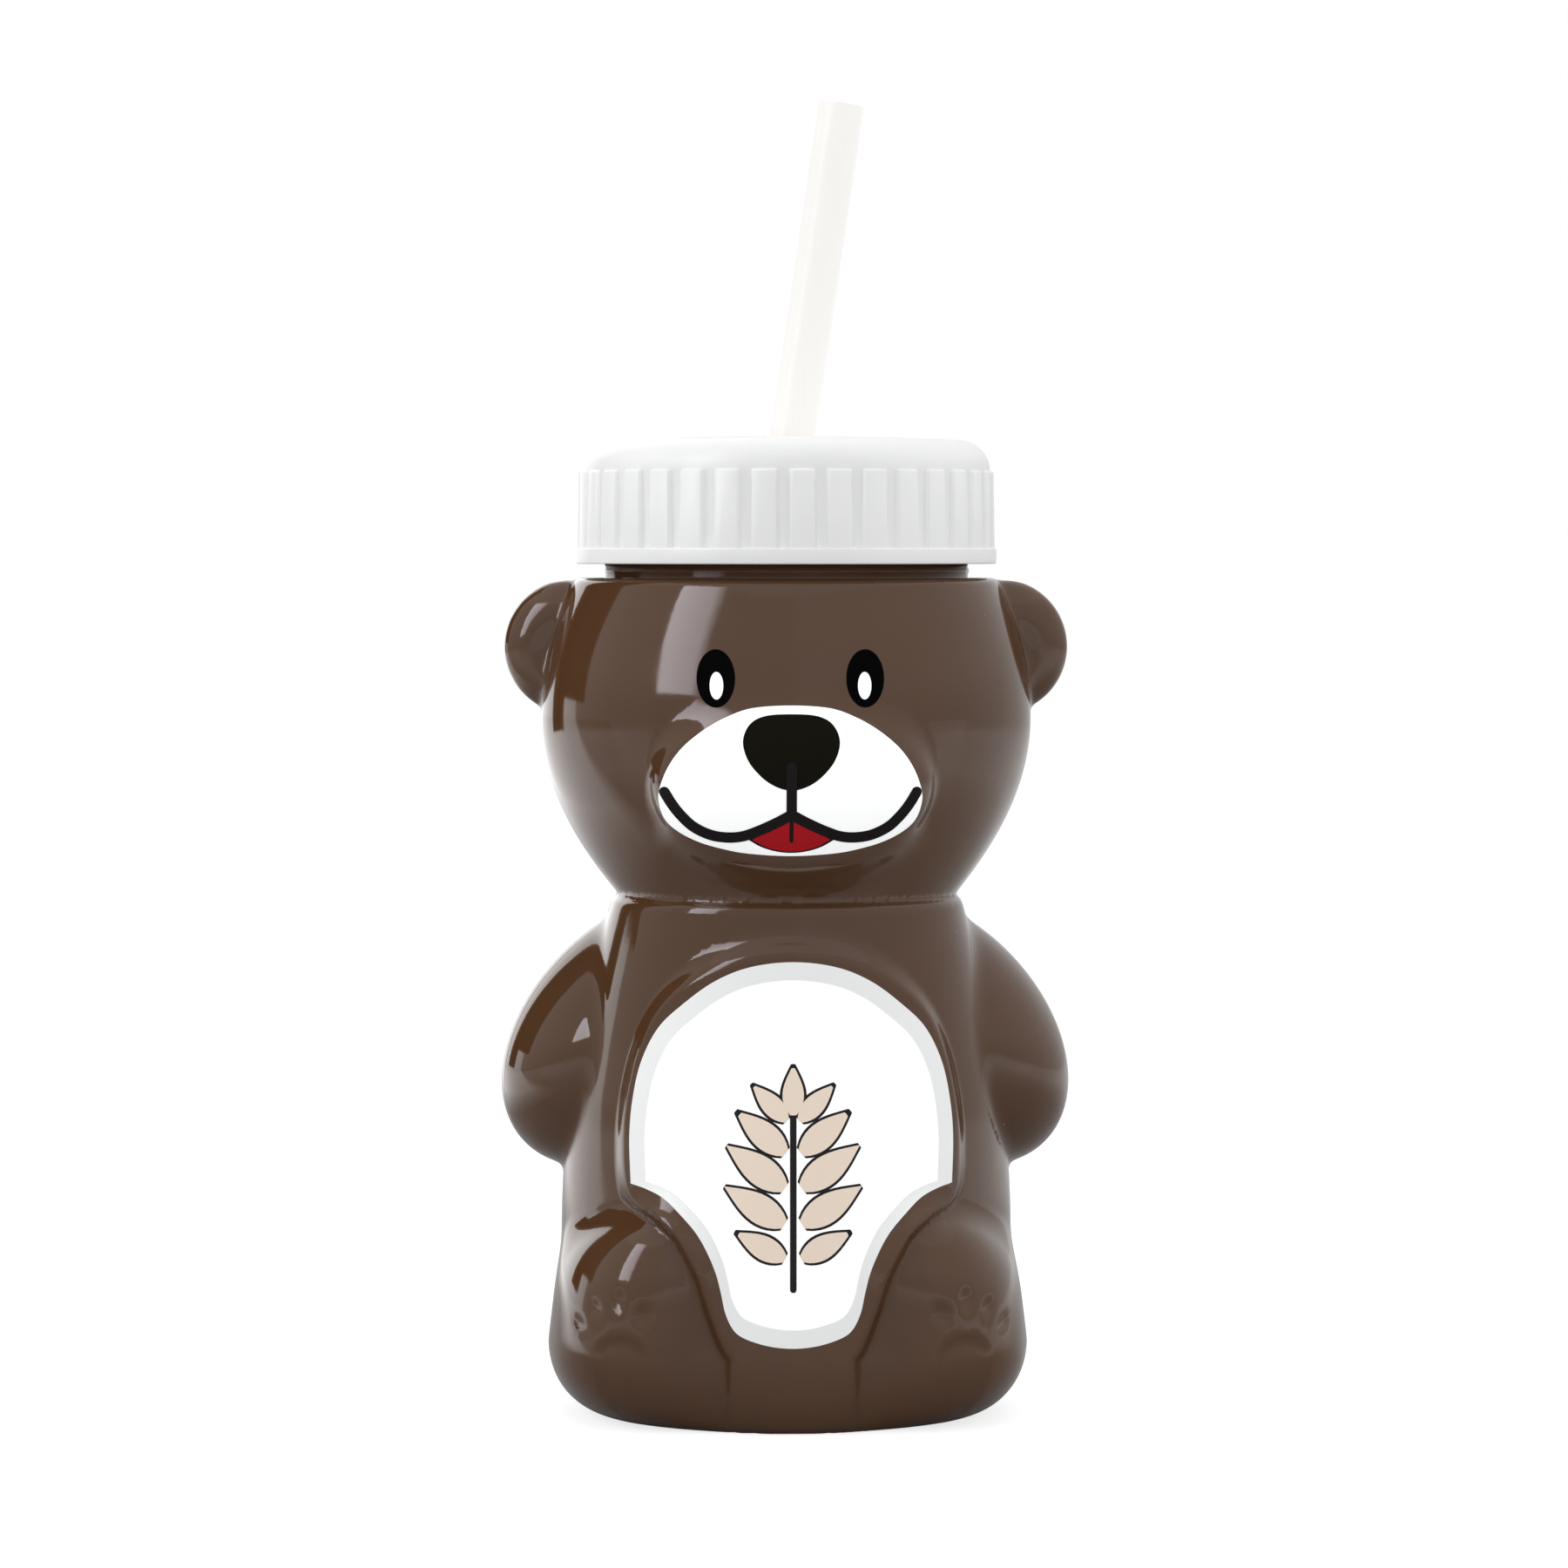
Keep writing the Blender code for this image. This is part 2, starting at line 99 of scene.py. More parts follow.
def addMesh(name, points, faces, material, sharpAngle=35, outwards=False):
    data = bpy.data.meshes.new(name)
    data.from_pydata((np.asarray(points, float) * mm).tolist(), [], faces)
    if outwards:
        work = bmesh.new()
        work.from_mesh(data)
        bmesh.ops.recalc_face_normals(work, faces=work.faces)
        work.to_mesh(data)
        work.free()
    data.materials.append(material)
    made = bpy.data.objects.new(name, data)
    bpy.context.scene.collection.objects.link(made)
    sharpen(made, sharpAngle)
    return made


def loftFaces(rows, sides):
    # Faces between rows of points that run round a form, and then a face at each end
    faces = []
    for i in range(rows - 1):
        here, there = sides * i, sides * (i + 1)
        for j in range(sides):
            k = (j + 1) % sides
            faces.append((here + j, here + k, there + k, there + j))
    return faces + [tuple(range(sides)), tuple(range(sides * (rows - 1), sides * rows))]


def blend(first, second, share):
    return first + (second - first) * share


def filleted(corners, steps=5):
    # A closed profile of (radius, height, edge radius) corners, with each edge rounded
    profile = []
    for i, (radius, height, edge) in enumerate(corners):
        here = np.array((radius, height), float)
        if not edge:
            profile.append(here)
            continue
        before = np.array(corners[i - 1][:2], float) - here
        after = np.array(corners[(i + 1) % len(corners)][:2], float) - here
        before /= np.linalg.norm(before)
        after /= np.linalg.norm(after)
        half = math.acos(np.clip(before @ after, -1, 1)) / 2
        middle = here + (before + after) / np.linalg.norm(before + after) * edge / math.sin(half)
        first = here + before * edge / math.tan(half) - middle
        last = here + after * edge / math.tan(half) - middle
        start = math.atan2(first[1], first[0])
        sweep = (math.atan2(last[1], last[0]) - start + math.pi) % math.tau - math.pi
        for share in np.linspace(0, 1, steps):
            angle = start + sweep * share
            profile.append(middle + edge * np.array((math.cos(angle), math.sin(angle))))
    return profile


def turned(name, profile, sides, material, sharpAngle=35):
    # Spins a closed profile round Z. A radius may differ from side to side, and points on the axis are one.
    angles = np.arange(sides) * math.tau / sides
    points, rings, faces = [], [], []
    for radius, height in profile:
        if np.max(radius) < 1e-6:
            rings.append([len(points)] * sides)
            points.append((0, 0, height))
            continue
        rings.append(list(range(len(points), len(points) + sides)))
        points.extend(zip(radius * np.cos(angles), radius * np.sin(angles), np.full(sides, height)))
    for first, second in zip(rings, rings[1:] + rings[:1]):
        if first[0] == first[1] and second[0] == second[1]:
            continue
        for i in range(sides):
            j = (i + 1) % sides
            faces.append(tuple(dict.fromkeys((first[i], first[j], second[j], second[i]))))
    return addMesh(name, points, faces, material, sharpAngle, outwards=True)


def helixRidge(name, ridge, startHeight, material):
    # A thread ridge: a trapezium that runs up a helix and fades in and out at its ends
    steps = round(ridge["turns"] * ridge["stepsPerTurn"])
    root, rootHalf, crestHalf = ridge["root"], ridge["rootWidth"] / 2, ridge["crestWidth"] / 2
    points = []
    for step in range(steps + 1):
        angle = step * math.tau / ridge["stepsPerTurn"]
        run = min(step, steps - step) / (ridge["stepsPerTurn"] * ridge["fadeTurns"])
        crest = blend(root, ridge["crest"], max(math.sin(min(run, 1) * math.pi / 2), ridge["endShare"]))
        rise = startHeight + angle / math.tau * ridge["pitch"]
        for radius, height in ((root, -rootHalf), (crest, -crestHalf), (crest, crestHalf), (root, rootHalf)):
            points.append((radius * math.cos(angle), radius * math.sin(angle), rise + height))
    return addMesh(name, points, loftFaces(steps + 1, 4), material, outwards=True)


def applyModifiers(piece):
    view = bpy.context.evaluated_depsgraph_get()
    result = bpy.data.meshes.new_from_object(piece.evaluated_get(view))
    piece.modifiers.clear()
    piece.data = result


def combine(target, tool, operation):
    change = target.modifiers.new(operation.lower(), "BOOLEAN")
    change.operation, change.object, change.solver = operation, tool, "MANIFOLD"
    applyModifiers(target)
    bpy.data.objects.remove(tool, do_unlink=True)


def finishPiece(piece, body, slot, *nodes):
    if nodes:
        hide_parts(*nodes)
    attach(piece, body)
    print("made", piece.name, len(piece.data.polygons), "faces")


# Camera at the photograph's viewing angle

cameraView = {
    "distance": 924.4,
    "turn": -1.75,
    "eyeHeight": 134.8,
    "aimHeight": 97.9,
    "aimAcross": -0.34,
    "focalLength": 135.14,
}


def makeCamera(view):
    lens = bpy.data.cameras.new("photoCamera")
    lens.lens = view["focalLength"]
    lens.sensor_width = 36
    camera = bpy.data.objects.new("photoCamera", lens)
    bpy.context.scene.collection.objects.link(camera)
    turn = math.radians(view["turn"])
    aim = Vector((view["aimAcross"], 0, view["aimHeight"])) * mm
    eye = Vector((math.sin(turn), -math.cos(turn), 0)) * view["distance"] * mm + aim
    eye.z = view["eyeHeight"] * mm
    camera.location = eye
    camera.rotation_euler = (aim - eye).to_track_quat("-Z", "Y").to_euler()
    bpy.context.scene.camera = camera


# The bear's form: a distance that is below zero inside

# It is built as the CAD body is, from the same main sizes. The chest's ledge, the legs, the arms and the
# snout's fillet are drawn closer to the photograph.
bearForm = {
    "frontDepth": 0.95,
    "torsoHeight": 81.5, "torsoRadius": 35.4, "torsoWidest": 27.0, "grooveRadius": 26.9,
    "chestRadius": 32.8, "chinRadius": 31.6, "chestTop": 80.8, "chestEdge": 1.3,
    "baseCorner": 11.5, "baseRing": 28.2, "baseFront": 1.13, "baseRingWidth": 2.5,
    "pushUp": 2.5, "pushUpSlope": 4.5,
    "headHeight": 48.8, "headRadius": 38.4, "headWidest": 108.5,
    "shoulderRadius": 33.0, "shoulderEdge": 1.0,
    "fillet": 1.6, "chinFillet": 1.0, "earFillet": 1.0,
    "legFillet": 2.4, "footFillet": 4.0, "footFilletFrom": 14, "footFilletTo": 6,
    "snoutFillet": 1.8, "underSnoutFillet": 4.5, "underSnoutFrom": 94.5, "underSnoutTo": 88.5,
    "earCentre": (33.6, 0, 119.5), "earSizes": (10.6, 5.2, 10.6),
    "dishCentre": (36.5, -8.0, 118.8), "dishSizes": (7.4, 4.4, 7.8), "dishFillet": 1.4,
    "armCentre": (22.85, 4.2, 59.2), "armSizes": (17.3, 20.0, 25.7), "armTilt": 45.6,
    "legCentre": (21.9, -12.7, 15.2), "legSizes": (14.6, 20.6, 20.0), "legTurn": -9, "legLean": -0.12,
    "legTaper": 0.4, "legTaperPower": 3.5, "legRoundPower": 2.45, "legTopPower": 3.6,
    "snoutCentre": (0, -29.8, 99.5), "snoutSizes": (21.5, 10.5, 15.0),
}

# Relief on the front: the belly pad with its rounded step, and a paw print sunk into each foot
relief = {
    "padHalf": [(0, 76.9), (8.0, 75.9), (14.6, 72.9), (19.9, 68.0), (23.6, 61.5), (25.9, 54.0), (27.1, 44.5),
                (26.2, 35.4), (21.7, 32.2), (18.9, 29.8), (17.0, 26.8), (15.3, 23.1), (14.0, 19.0),
                (12.5, 14.8), (11.0, 11.7), (8.8, 9.7), (5.6, 8.4), (0, 7.9)],
    "padRise": 1.6, "padTopRise": 1.9, "padStep": 1.6, "padTopStep": 4.2,
    "padTopFrom": 62, "padTopTo": 76,
    "pawRise": -0.3, "pawStep": 1.7,
    "pawLobes": [(24.3, 10.3, 2.7, 2.8, 0), (28.2, 10.3, 2.7, 2.8, 0), (26.3, 12.0, 4.5, 3.7, 0)],
    "pawToes": [(22.8, 18.4, 1.9, 2.5, -18), (26.5, 20.5, 1.6, 2.9, 0), (30.0, 19.0, 1.5, 2.5, 12),
                (32.6, 16.4, 1.3, 2.1, 25)],
    "mapStep": 0.2, "mapWidth": 36.0, "mapHeight": 84.0,
}


def smoothStep(share):
    share = np.clip(share, 0, 1)
    return share * share * (3 - 2 * share)


def blendShare(value, start, end):
    # Runs smoothly from zero at start to one at end
    return smoothStep((value - start) / (end - start))


def throughPoints(points, steps):
    # Catmull-Rom curve through points, where an end on the middle line runs on mirrored
    points = np.array(points, float)
    before = points[1] * (-1, 1) if points[0][0] == 0 else 2 * points[0] - points[1]
    after = points[-2] * (-1, 1) if points[-1][0] == 0 else 2 * points[-1] - points[-2]
    knots = np.vstack((before, points, after))
    curve = []
    for a, b, c, d in zip(knots, knots[1:], knots[2:], knots[3:]):
        for t in np.arange(steps) / steps:
            curve.append((2 * b + (c - a) * t + (2 * a - 5 * b + 4 * c - d) * t**2
                          + (3 * b - a - 3 * c + d) * t**3) / 2)
    curve.append(points[-1])
    return np.array(curve)


def mirroredOutline(halves, steps=8):
    # Closed outline from the curves of its right half, which run from the top to the bottom
    right = np.vstack([throughPoints(half, steps)[:-1] for half in halves] + [halves[-1][-1:]])
    left = right[-2:0:-1] * (-1, 1)
    return np.vstack((right, left))


def insideDistance(x, z, outline):
    # How far points lie inside a closed outline, and below zero how far outside
    far = np.full(x.shape, np.inf)
    inside = np.zeros(x.shape, bool)
    for (ax, az), (bx, bz) in zip(outline, np.roll(outline, -1, axis=0)):
        dx, dz = bx - ax, bz - az
        along = np.clip(((x - ax) * dx + (z - az) * dz) / max(dx * dx + dz * dz, 1e-12), 0, 1)
        far = np.minimum(far, np.hypot(x - ax - along * dx, z - az - along * dz))
        if dz != 0:
            crosses = ((az > z) != (bz > z)) & (x < ax + (z - az) * dx / dz)
            inside ^= crosses
    return np.where(inside, far, -far)


def ovalDistance(x, z, oval):
    centreX, centreZ, halfWidth, halfHeight, tilt = oval
    turn = math.radians(tilt)
    across = (x - centreX) * math.cos(turn) - (z - centreZ) * math.sin(turn)
    along = (x - centreX) * math.sin(turn) + (z - centreZ) * math.cos(turn)
    return (1 - np.hypot(across / halfWidth, along / halfHeight)) * min(halfWidth, halfHeight)


def reliefMap(r):
    # The height of the relief on an even grid over the right half of the front
    across = np.arange(0, r["mapWidth"] + r["mapStep"], r["mapStep"])
    up = np.arange(0, r["mapHeight"] + r["mapStep"], r["mapStep"])
    x, z = np.meshgrid(across, up, indexing="ij")
    top = blendShare(z, r["padTopFrom"], r["padTopTo"])
    step, rise = blend(r["padStep"], r["padTopStep"], top), blend(r["padRise"], r["padTopRise"], top)
    pad = rise * smoothStep(insideDistance(x, z, mirroredOutline([r["padHalf"]])) / step)
    lobes = np.maximum.reduce([ovalDistance(x, z, oval) for oval in r["pawLobes"]])
    toes = np.maximum.reduce([ovalDistance(x, z, oval) for oval in r["pawToes"]])
    paw = r["pawRise"] * smoothStep(np.maximum(lobes, toes) / r["pawStep"])
    return pad + paw


frontRelief = reliefMap(relief)


def reliefAt(x, z):
    # Height of the relief at any point, read between the points of its map
    column = np.clip(np.abs(x) / relief["mapStep"], 0, frontRelief.shape[0] - 1.001)
    row = np.clip(z / relief["mapStep"], 0, frontRelief.shape[1] - 1.001)
    i, j = column.astype(int), row.astype(int)
    u, v = column - i, row - j
    low = frontRelief[i, j] * (1 - u) + frontRelief[i + 1, j] * u
    high = frontRelief[i, j + 1] * (1 - u) + frontRelief[i + 1, j + 1] * u
    return low * (1 - v) + high * v


def joined(first, second, fillet):
    # The nearer of two forms, with a fillet where they meet
    overlap = np.maximum(fillet - np.abs(first - second), 0) / fillet
    return np.minimum(first, second) - overlap**2 * fillet / 4


def roundedCut(first, second, edge):
    # What lies in both forms, with a rounded edge where their surfaces meet
    outside = np.hypot(np.maximum(first + edge, 0), np.maximum(second + edge, 0))
    return np.minimum(np.maximum(first, second) + edge, 0) + outside - edge


def ellipsoidForm(x, y, z, centre, sizes, tilt=0):
    turn = math.radians(tilt)
    x, y, z = x - centre[0], y - centre[1], z - centre[2]
    across = x * math.cos(turn) + z * math.sin(turn)
    along = z * math.cos(turn) - x * math.sin(turn)
    a, b, c = sizes
    scaled = np.sqrt((across / a) ** 2 + (y / b) ** 2 + (along / c) ** 2)
    slope = np.sqrt((across / a**2) ** 2 + (y / b**2) ** 2 + (along / c**2) ** 2)
    return scaled * (scaled - 1) / np.maximum(slope, 1e-9)


def legForm(x, y, z, b):
    # A thigh and foot: round across, flat in front, with a rounded knee, narrower and further in upwards
    turn, roundPower, topPower = math.radians(b["legTurn"]), b["legRoundPower"], b["legTopPower"]
    halfWidth, halfDepth, halfHeight = b["legSizes"]
    rise = z - b["legCentre"][2]
    height = np.abs(rise) / halfHeight
    x, y = x - b["legCentre"][0] - b["legLean"] * rise, y - b["legCentre"][1]
    narrowing = 1 - b["legTaper"] * np.minimum(height, 1) ** b["legTaperPower"]
    across = np.abs(x * math.cos(turn) + y * math.sin(turn)) / (halfWidth * narrowing)
    along = np.abs(y * math.cos(turn) - x * math.sin(turn)) / halfDepth
    level = (across**roundPower + along**roundPower) ** (1 / roundPower)
    return ((level**topPower + height**topPower) ** (1 / topPower) - 1) * halfWidth


def bulgeForm(radial, z, widest, widestRadius, end, endRadius):
    share = (z - widest) / (end - widest)
    steepness = 2 * (endRadius - widestRadius) * share / (end - widest)
    return (radial - widestRadius - (endRadius - widestRadius) * share**2) / np.sqrt(1 + steepness**2)


def sideForm(x, y, z, b, cavity=False):
    # Torso, head, limbs and snout, without base and shoulder
    right = np.abs(x)
    radial = np.hypot(x, y / np.where(y < 0, b["frontDepth"], 1))
    upper = np.maximum(z, b["torsoWidest"])
    facing = smoothStep(-y / np.maximum(np.hypot(x, y), 1e-6))
    topRadius = blend(b["grooveRadius"], b["chestRadius"], facing)
    chinRadius = blend(b["grooveRadius"], b["chinRadius"], facing)
    torso = bulgeForm(radial, upper, b["torsoWidest"], b["torsoRadius"], b["torsoHeight"], topRadius)
    torso = roundedCut(torso, z - b["chestTop"], b["chestEdge"])
    chin = bulgeForm(radial, z, b["headWidest"], b["headRadius"], b["torsoHeight"], chinRadius)
    headTop = b["torsoHeight"] + b["headHeight"]
    crown = bulgeForm(radial, z, b["headWidest"], b["headRadius"], headTop, b["shoulderRadius"])
    form = joined(torso, np.where(z < b["headWidest"], chin, crown), b["chinFillet"])
    form = joined(form, ellipsoidForm(right, y, z, b["armCentre"], b["armSizes"], b["armTilt"]), b["fillet"])
    low = blendShare(z, b["footFilletFrom"], b["footFilletTo"])
    form = joined(form, legForm(right, y, z, b), blend(b["legFillet"], b["footFillet"], low))
    under = blendShare(z, b["underSnoutFrom"], b["underSnoutTo"])
    snoutFillet = blend(b["snoutFillet"], b["underSnoutFillet"], under)
    form = joined(form, ellipsoidForm(x, y, z, b["snoutCentre"], b["snoutSizes"]), snoutFillet)
    if cavity:
        return form
    ear = ellipsoidForm(right, y, z, b["earCentre"], b["earSizes"])
    dish = ellipsoidForm(right, y, z, b["dishCentre"], b["dishSizes"])
    ear = -joined(-ear, dish, b["dishFillet"])
    return joined(form, ear, b["earFillet"]) - reliefAt(x, z) * (y < 0)


def bodyForm(x, y, z, b=bearForm):
    # Below the base corner the outline shrinks towards the standing ring
    sink = np.clip(1 - z / b["baseCorner"], 0, 1)
    spread = np.maximum(np.sqrt(1 - sink**2), 0.03)
    radius = np.maximum(np.hypot(x, y), 1e-6)
    ring = b["baseRing"] * radius / np.hypot(x, y / np.where(y < 0, b["baseFront"], 1)).clip(1e-6)
    scale = np.maximum(ring + (radius - ring) / spread, 0) / radius
    form = sideForm(x * scale, y * scale, np.maximum(z, b["baseCorner"]), b) * spread

    # Rounded edge of the shoulder, then the flat base with its push-up
    form = roundedCut(form, z - b["torsoHeight"] - b["headHeight"], b["shoulderEdge"])
    pushUp = b["pushUp"] * smoothStep((b["baseRing"] - b["baseRingWidth"] - radius) / b["pushUpSlope"])
    return np.maximum(form, pushUp - z)


def formSlopes(points, form, reach=0.02):
    # The form at points, and how it changes along each axis
    here = form(*points.T)
    slopes = [form(*(points + reach * np.eye(3)[axis]).T) - here for axis in range(3)]
    return here, np.stack(slopes, axis=-1) / reach


def settle(points, form, rounds=4):
    # Moves points onto the surface of the form
    for _ in range(rounds):
        here, slopes = formSlopes(points, form)
        move = slopes * (-here / np.maximum((slopes**2).sum(axis=1), 0.05))[:, None]
        length = np.linalg.norm(move, axis=1, keepdims=True)
        points = points + move * np.minimum(1, 0.4 / np.maximum(length, 1e-9))
    return points


# A closed surface round a form, from the cells of an even grid that its surface crosses

def netRound(form, low, high, step):
    axes = [np.arange(a, b + step, step) for a, b in zip(low, high)]
    field = form(axes[0][:, None, None], axes[1][None, :, None], axes[2][None, None, :])
    inside = field < 0
    corners = [(i, j, k) for i in (0, 1) for j in (0, 1) for k in (0, 1)]
    shape = [n - 1 for n in field.shape]
    windows = [tuple(slice(c, c + n) for c, n in zip(corner, shape)) for corner in corners]
    count = sum(inside[window].astype(int) for window in windows)
    cells = np.argwhere((count > 0) & (count < 8))
    number = np.full(shape, -1)
    number[tuple(cells.T)] = np.arange(len(cells))
    values = np.stack([field[tuple((cells + corner).T)] for corner in corners], axis=1)
    total = np.zeros((len(cells), 3))
    hits = np.zeros(len(cells))
    for first in range(8):
        for second in range(first + 1, 8):
            a, b = np.array(corners[first]), np.array(corners[second])
            if abs(a - b).sum() != 1:
                continue
            u, v = values[:, first], values[:, second]
            crossed = (u < 0) != (v < 0)
            share = np.where(crossed, u / np.where(crossed, u - v, 1), 0)
            total += np.where(crossed[:, None], a + share[:, None] * (b - a), 0)
            hits += crossed
    points = np.array(low) + (cells + total / hits[:, None]) * step

    faces = []
    for axis in range(3):
        others = [a for a in range(3) if a != axis]
        lower = np.take(inside, range(field.shape[axis] - 1), axis=axis)
        upper = np.take(inside, range(1, field.shape[axis]), axis=axis)
        for flipped, edges in ((False, lower & ~upper), (True, ~lower & upper)):
            places = np.argwhere(edges)
            ring = []
            for shift in ((-1, -1), (0, -1), (0, 0), (-1, 0)):
                cell = places.copy()
                cell[:, others] += shift
                ring.append(number[tuple(cell.T)])
            ring = np.stack(ring, axis=1)
            faces.append(ring[:, ::-1] if flipped != (axis == 1) else ring)
    return points, np.vstack(faces)


def relaxed(points, quads, form, rounds):
    # Evens out the net along its surface
    edges = np.vstack([quads[:, [i, (i + 1) % 4]] for i in range(4)])
    count = np.bincount(edges.ravel(), minlength=len(points))
    for _ in range(rounds):
        total = np.zeros_like(points)
        for axis in range(3):
            total[:, axis] += np.bincount(edges[:, 0], points[edges[:, 1], axis], len(points))
            total[:, axis] += np.bincount(edges[:, 1], points[edges[:, 0], axis], len(points))
        pull = total / count[:, None] - points
        _, slopes = formSlopes(points, form)
        normal = slopes / np.maximum(np.linalg.norm(slopes, axis=1, keepdims=True), 1e-9)
        points = points + 0.6 * (pull - normal * (pull * normal).sum(axis=1, keepdims=True))
        points = settle(points, form, 1)
    return settle(points, form, 3)


def refined(points, quads, wanted):
    # Splits the faces whose middles are wanted into four, and keeps the net closed
    net = bmesh.new()
    corners = [net.verts.new(point) for point in points.tolist()]
    for quad in quads:
        net.faces.new([corners[i] for i in quad])
    net.faces.ensure_lookup_table()
    middles = np.array([face.calc_center_median()[:] for face in net.faces])
    chosen = [net.faces[i] for i in np.nonzero(wanted(middles))[0]]
    edges = list({edge for face in chosen for edge in face.edges})
    bmesh.ops.subdivide_edges(net, edges=edges, cuts=1, use_grid_fill=True)
    net.verts.index_update()
    made = np.array([vert.co[:] for vert in net.verts])
    faces = [[vert.index for vert in face.verts] for face in net.faces]
    net.free()
    return made, faces


# Materials. Each is named for the real plastic or ink and how its surface was made.

def objectPlace(tree):
    return addNode(tree, "ShaderNodeTexCoord").outputs["Object"]


def setSurface(tree, shader, glossMap, roughness, heightMap, depth):
    # Roughness between two values where a map runs from 0.3 to 0.7, and a bump of depth millimetres
    smooth, rough = roughness
    gloss = addNode(tree, "ShaderNodeMapRange", {1: 0.3, 2: 0.7, 3: smooth, 4: rough}, {0: glossMap})
    height = addNode(tree, "ShaderNodeMath", {"operation": "MULTIPLY", 1: depth * mm}, {0: heightMap})
    bump = addNode(tree, "ShaderNodeBump", {"Distance": 1.0}, {"Height": height})
    linkInto(tree, shader, {"Roughness": gloss, "Normal": bump})


def blowMouldedPlastic():
    # Pigmented polyethylene blown against a polished mould: an even gloss that mirrors the studio,
    # with slow ripples, a fine grain, the mould's parting line along the sides and a few pale specks
    made, tree, shader = newMaterial("blowMouldedBrownPolyethylene", "#523723", 0.07, {"IOR": 1.5})
    place = objectPlace(tree)
    clouds, smudges, ripples, grain = [
        addNode(tree, "ShaderNodeTexNoise", {"Scale": 1 / (size * mm), "Detail": detail}, {"Vector": place})
        for size, detail in ((28, 3.0), (14, 4.0), (9, 1.0), (0.7, 2.0))]
    tint = addNode(tree, "ShaderNodeMix", {
        "data_type": "RGBA", 6: hexColour("#4C321F"), 7: hexColour("#583C27")}, {0: clouds})
    cells = addNode(tree, "ShaderNodeTexVoronoi", {"Scale": 1 / (7 * mm)}, {"Vector": place})
    speck = addNode(tree, "ShaderNodeMapRange", {1: 0.011, 2: 0.017, 3: 1.0, 4: 0.0}, {0: cells})
    dusty = addNode(tree, "ShaderNodeMix", {"data_type": "RGBA", 7: hexColour("#A79B92")},
                    {0: speck, 6: tint.outputs[2]})
    gloss = addNode(tree, "ShaderNodeMapRange", {1: 0.35, 2: 0.75, 3: 0.05, 4: 0.12}, {0: smudges})

    # Heights in metres: ripples, grain and the parting line where Y is zero
    sides = addNode(tree, "ShaderNodeSeparateXYZ", {}, {"Vector": place})
    gap = addNode(tree, "ShaderNodeMath", {"operation": "ABSOLUTE"}, {0: sides.outputs["Y"]})
    seam = addNode(tree, "ShaderNodeMapRange", {1: 0.05 * mm, 2: 0.3 * mm, 3: 0.05 * mm, 4: 0.0}, {0: gap})
    slow = addNode(tree, "ShaderNodeMath", {"operation": "MULTIPLY", 1: 0.035 * mm}, {0: ripples})
    both = addNode(tree, "ShaderNodeMath", {"operation": "MULTIPLY_ADD", 1: 0.0012 * mm}, {0: grain, 2: slow})
    height = addNode(tree, "ShaderNodeMath", {"operation": "ADD"}, {0: both, 1: seam})
    bump = addNode(tree, "ShaderNodeBump", {"Distance": 1.0}, {"Height": height})
    linkInto(tree, shader, {"Base Color": dusty.outputs[2], "Roughness": gloss, "Normal": bump})
    return made


def mouldedCapPlastic():
    # Injection-moulded white polypropylene: satin, faintly see-through at its edges, slightly mottled
    made, tree, shader = newMaterial("injectionMouldedWhitePolypropylene", "#F3F4F4", 0.34, {
        "IOR": 1.49, "Specular IOR Level": 0.3, "Subsurface Weight": 0.15,
        "Subsurface Radius": (1.0, 0.95, 0.9), "Subsurface Scale": 1.2 * mm})
    flow, grain = [
        addNode(tree, "ShaderNodeTexNoise", {"Scale": 1 / (size * mm), "Detail": detail},
                {"Vector": objectPlace(tree)})
        for size, detail in ((12, 3.0), (0.35, 2.0))]
    tint = addNode(tree, "ShaderNodeMix", {
        "data_type": "RGBA", 6: hexColour("#EEEFEF"), 7: hexColour("#F4F5F4")}, {0: flow})
    linkInto(tree, shader, {"Base Color": tint.outputs[2]})
    setSurface(tree, shader, flow, (0.28, 0.4), grain, 0.004)
    return made


def extrudedStrawPlastic():
    # Extruded polypropylene tube: thin, with fine draw lines along it. The white studio behind shines
    # through its wall, which a glow of its own stands for.
    made, tree, shader = newMaterial("extrudedWhitePolypropylene", "#949390", 0.34, {
        "IOR": 1.49, "Specular IOR Level": 0.15, "Transmission Weight": 0.05,
        "Emission Color": (1, 0.99, 0.97, 1), "Emission Strength": 0.65})
    stretched = addNode(tree, "ShaderNodeMapping", {"Scale": (1, 1, 0.02)}, {"Vector": objectPlace(tree)})
    lines = addNode(tree, "ShaderNodeTexNoise", {"Scale": 1 / (0.5 * mm), "Detail": 2.0},
                    {"Vector": stretched})
    setSurface(tree, shader, lines, (0.24, 0.36), lines, 0.006)
    return made


def sealFoam():
    # Closed-cell polyethylene foam: matt, off-white, with small open cells at its cut edge
    made, tree, shader = newMaterial("dieCutPolyethyleneFoam", "#E9E7E1", 0.75)
    cells = addNode(tree, "ShaderNodeTexVoronoi", {"Scale": 1 / (0.25 * mm)}, {"Vector": objectPlace(tree)})
    tint = addNode(tree, "ShaderNodeMix", {
        "data_type": "RGBA", 6: hexColour("#D8D5CD"), 7: hexColour("#EFEDE8")}, {0: cells})
    height = addNode(tree, "ShaderNodeMath", {"operation": "MULTIPLY", 1: 0.06 * mm}, {0: cells})
    bump = addNode(tree, "ShaderNodeBump", {"Distance": 1.0}, {"Height": height})
    linkInto(tree, shader, {"Base Color": tint.outputs[2], "Normal": bump})
    return made


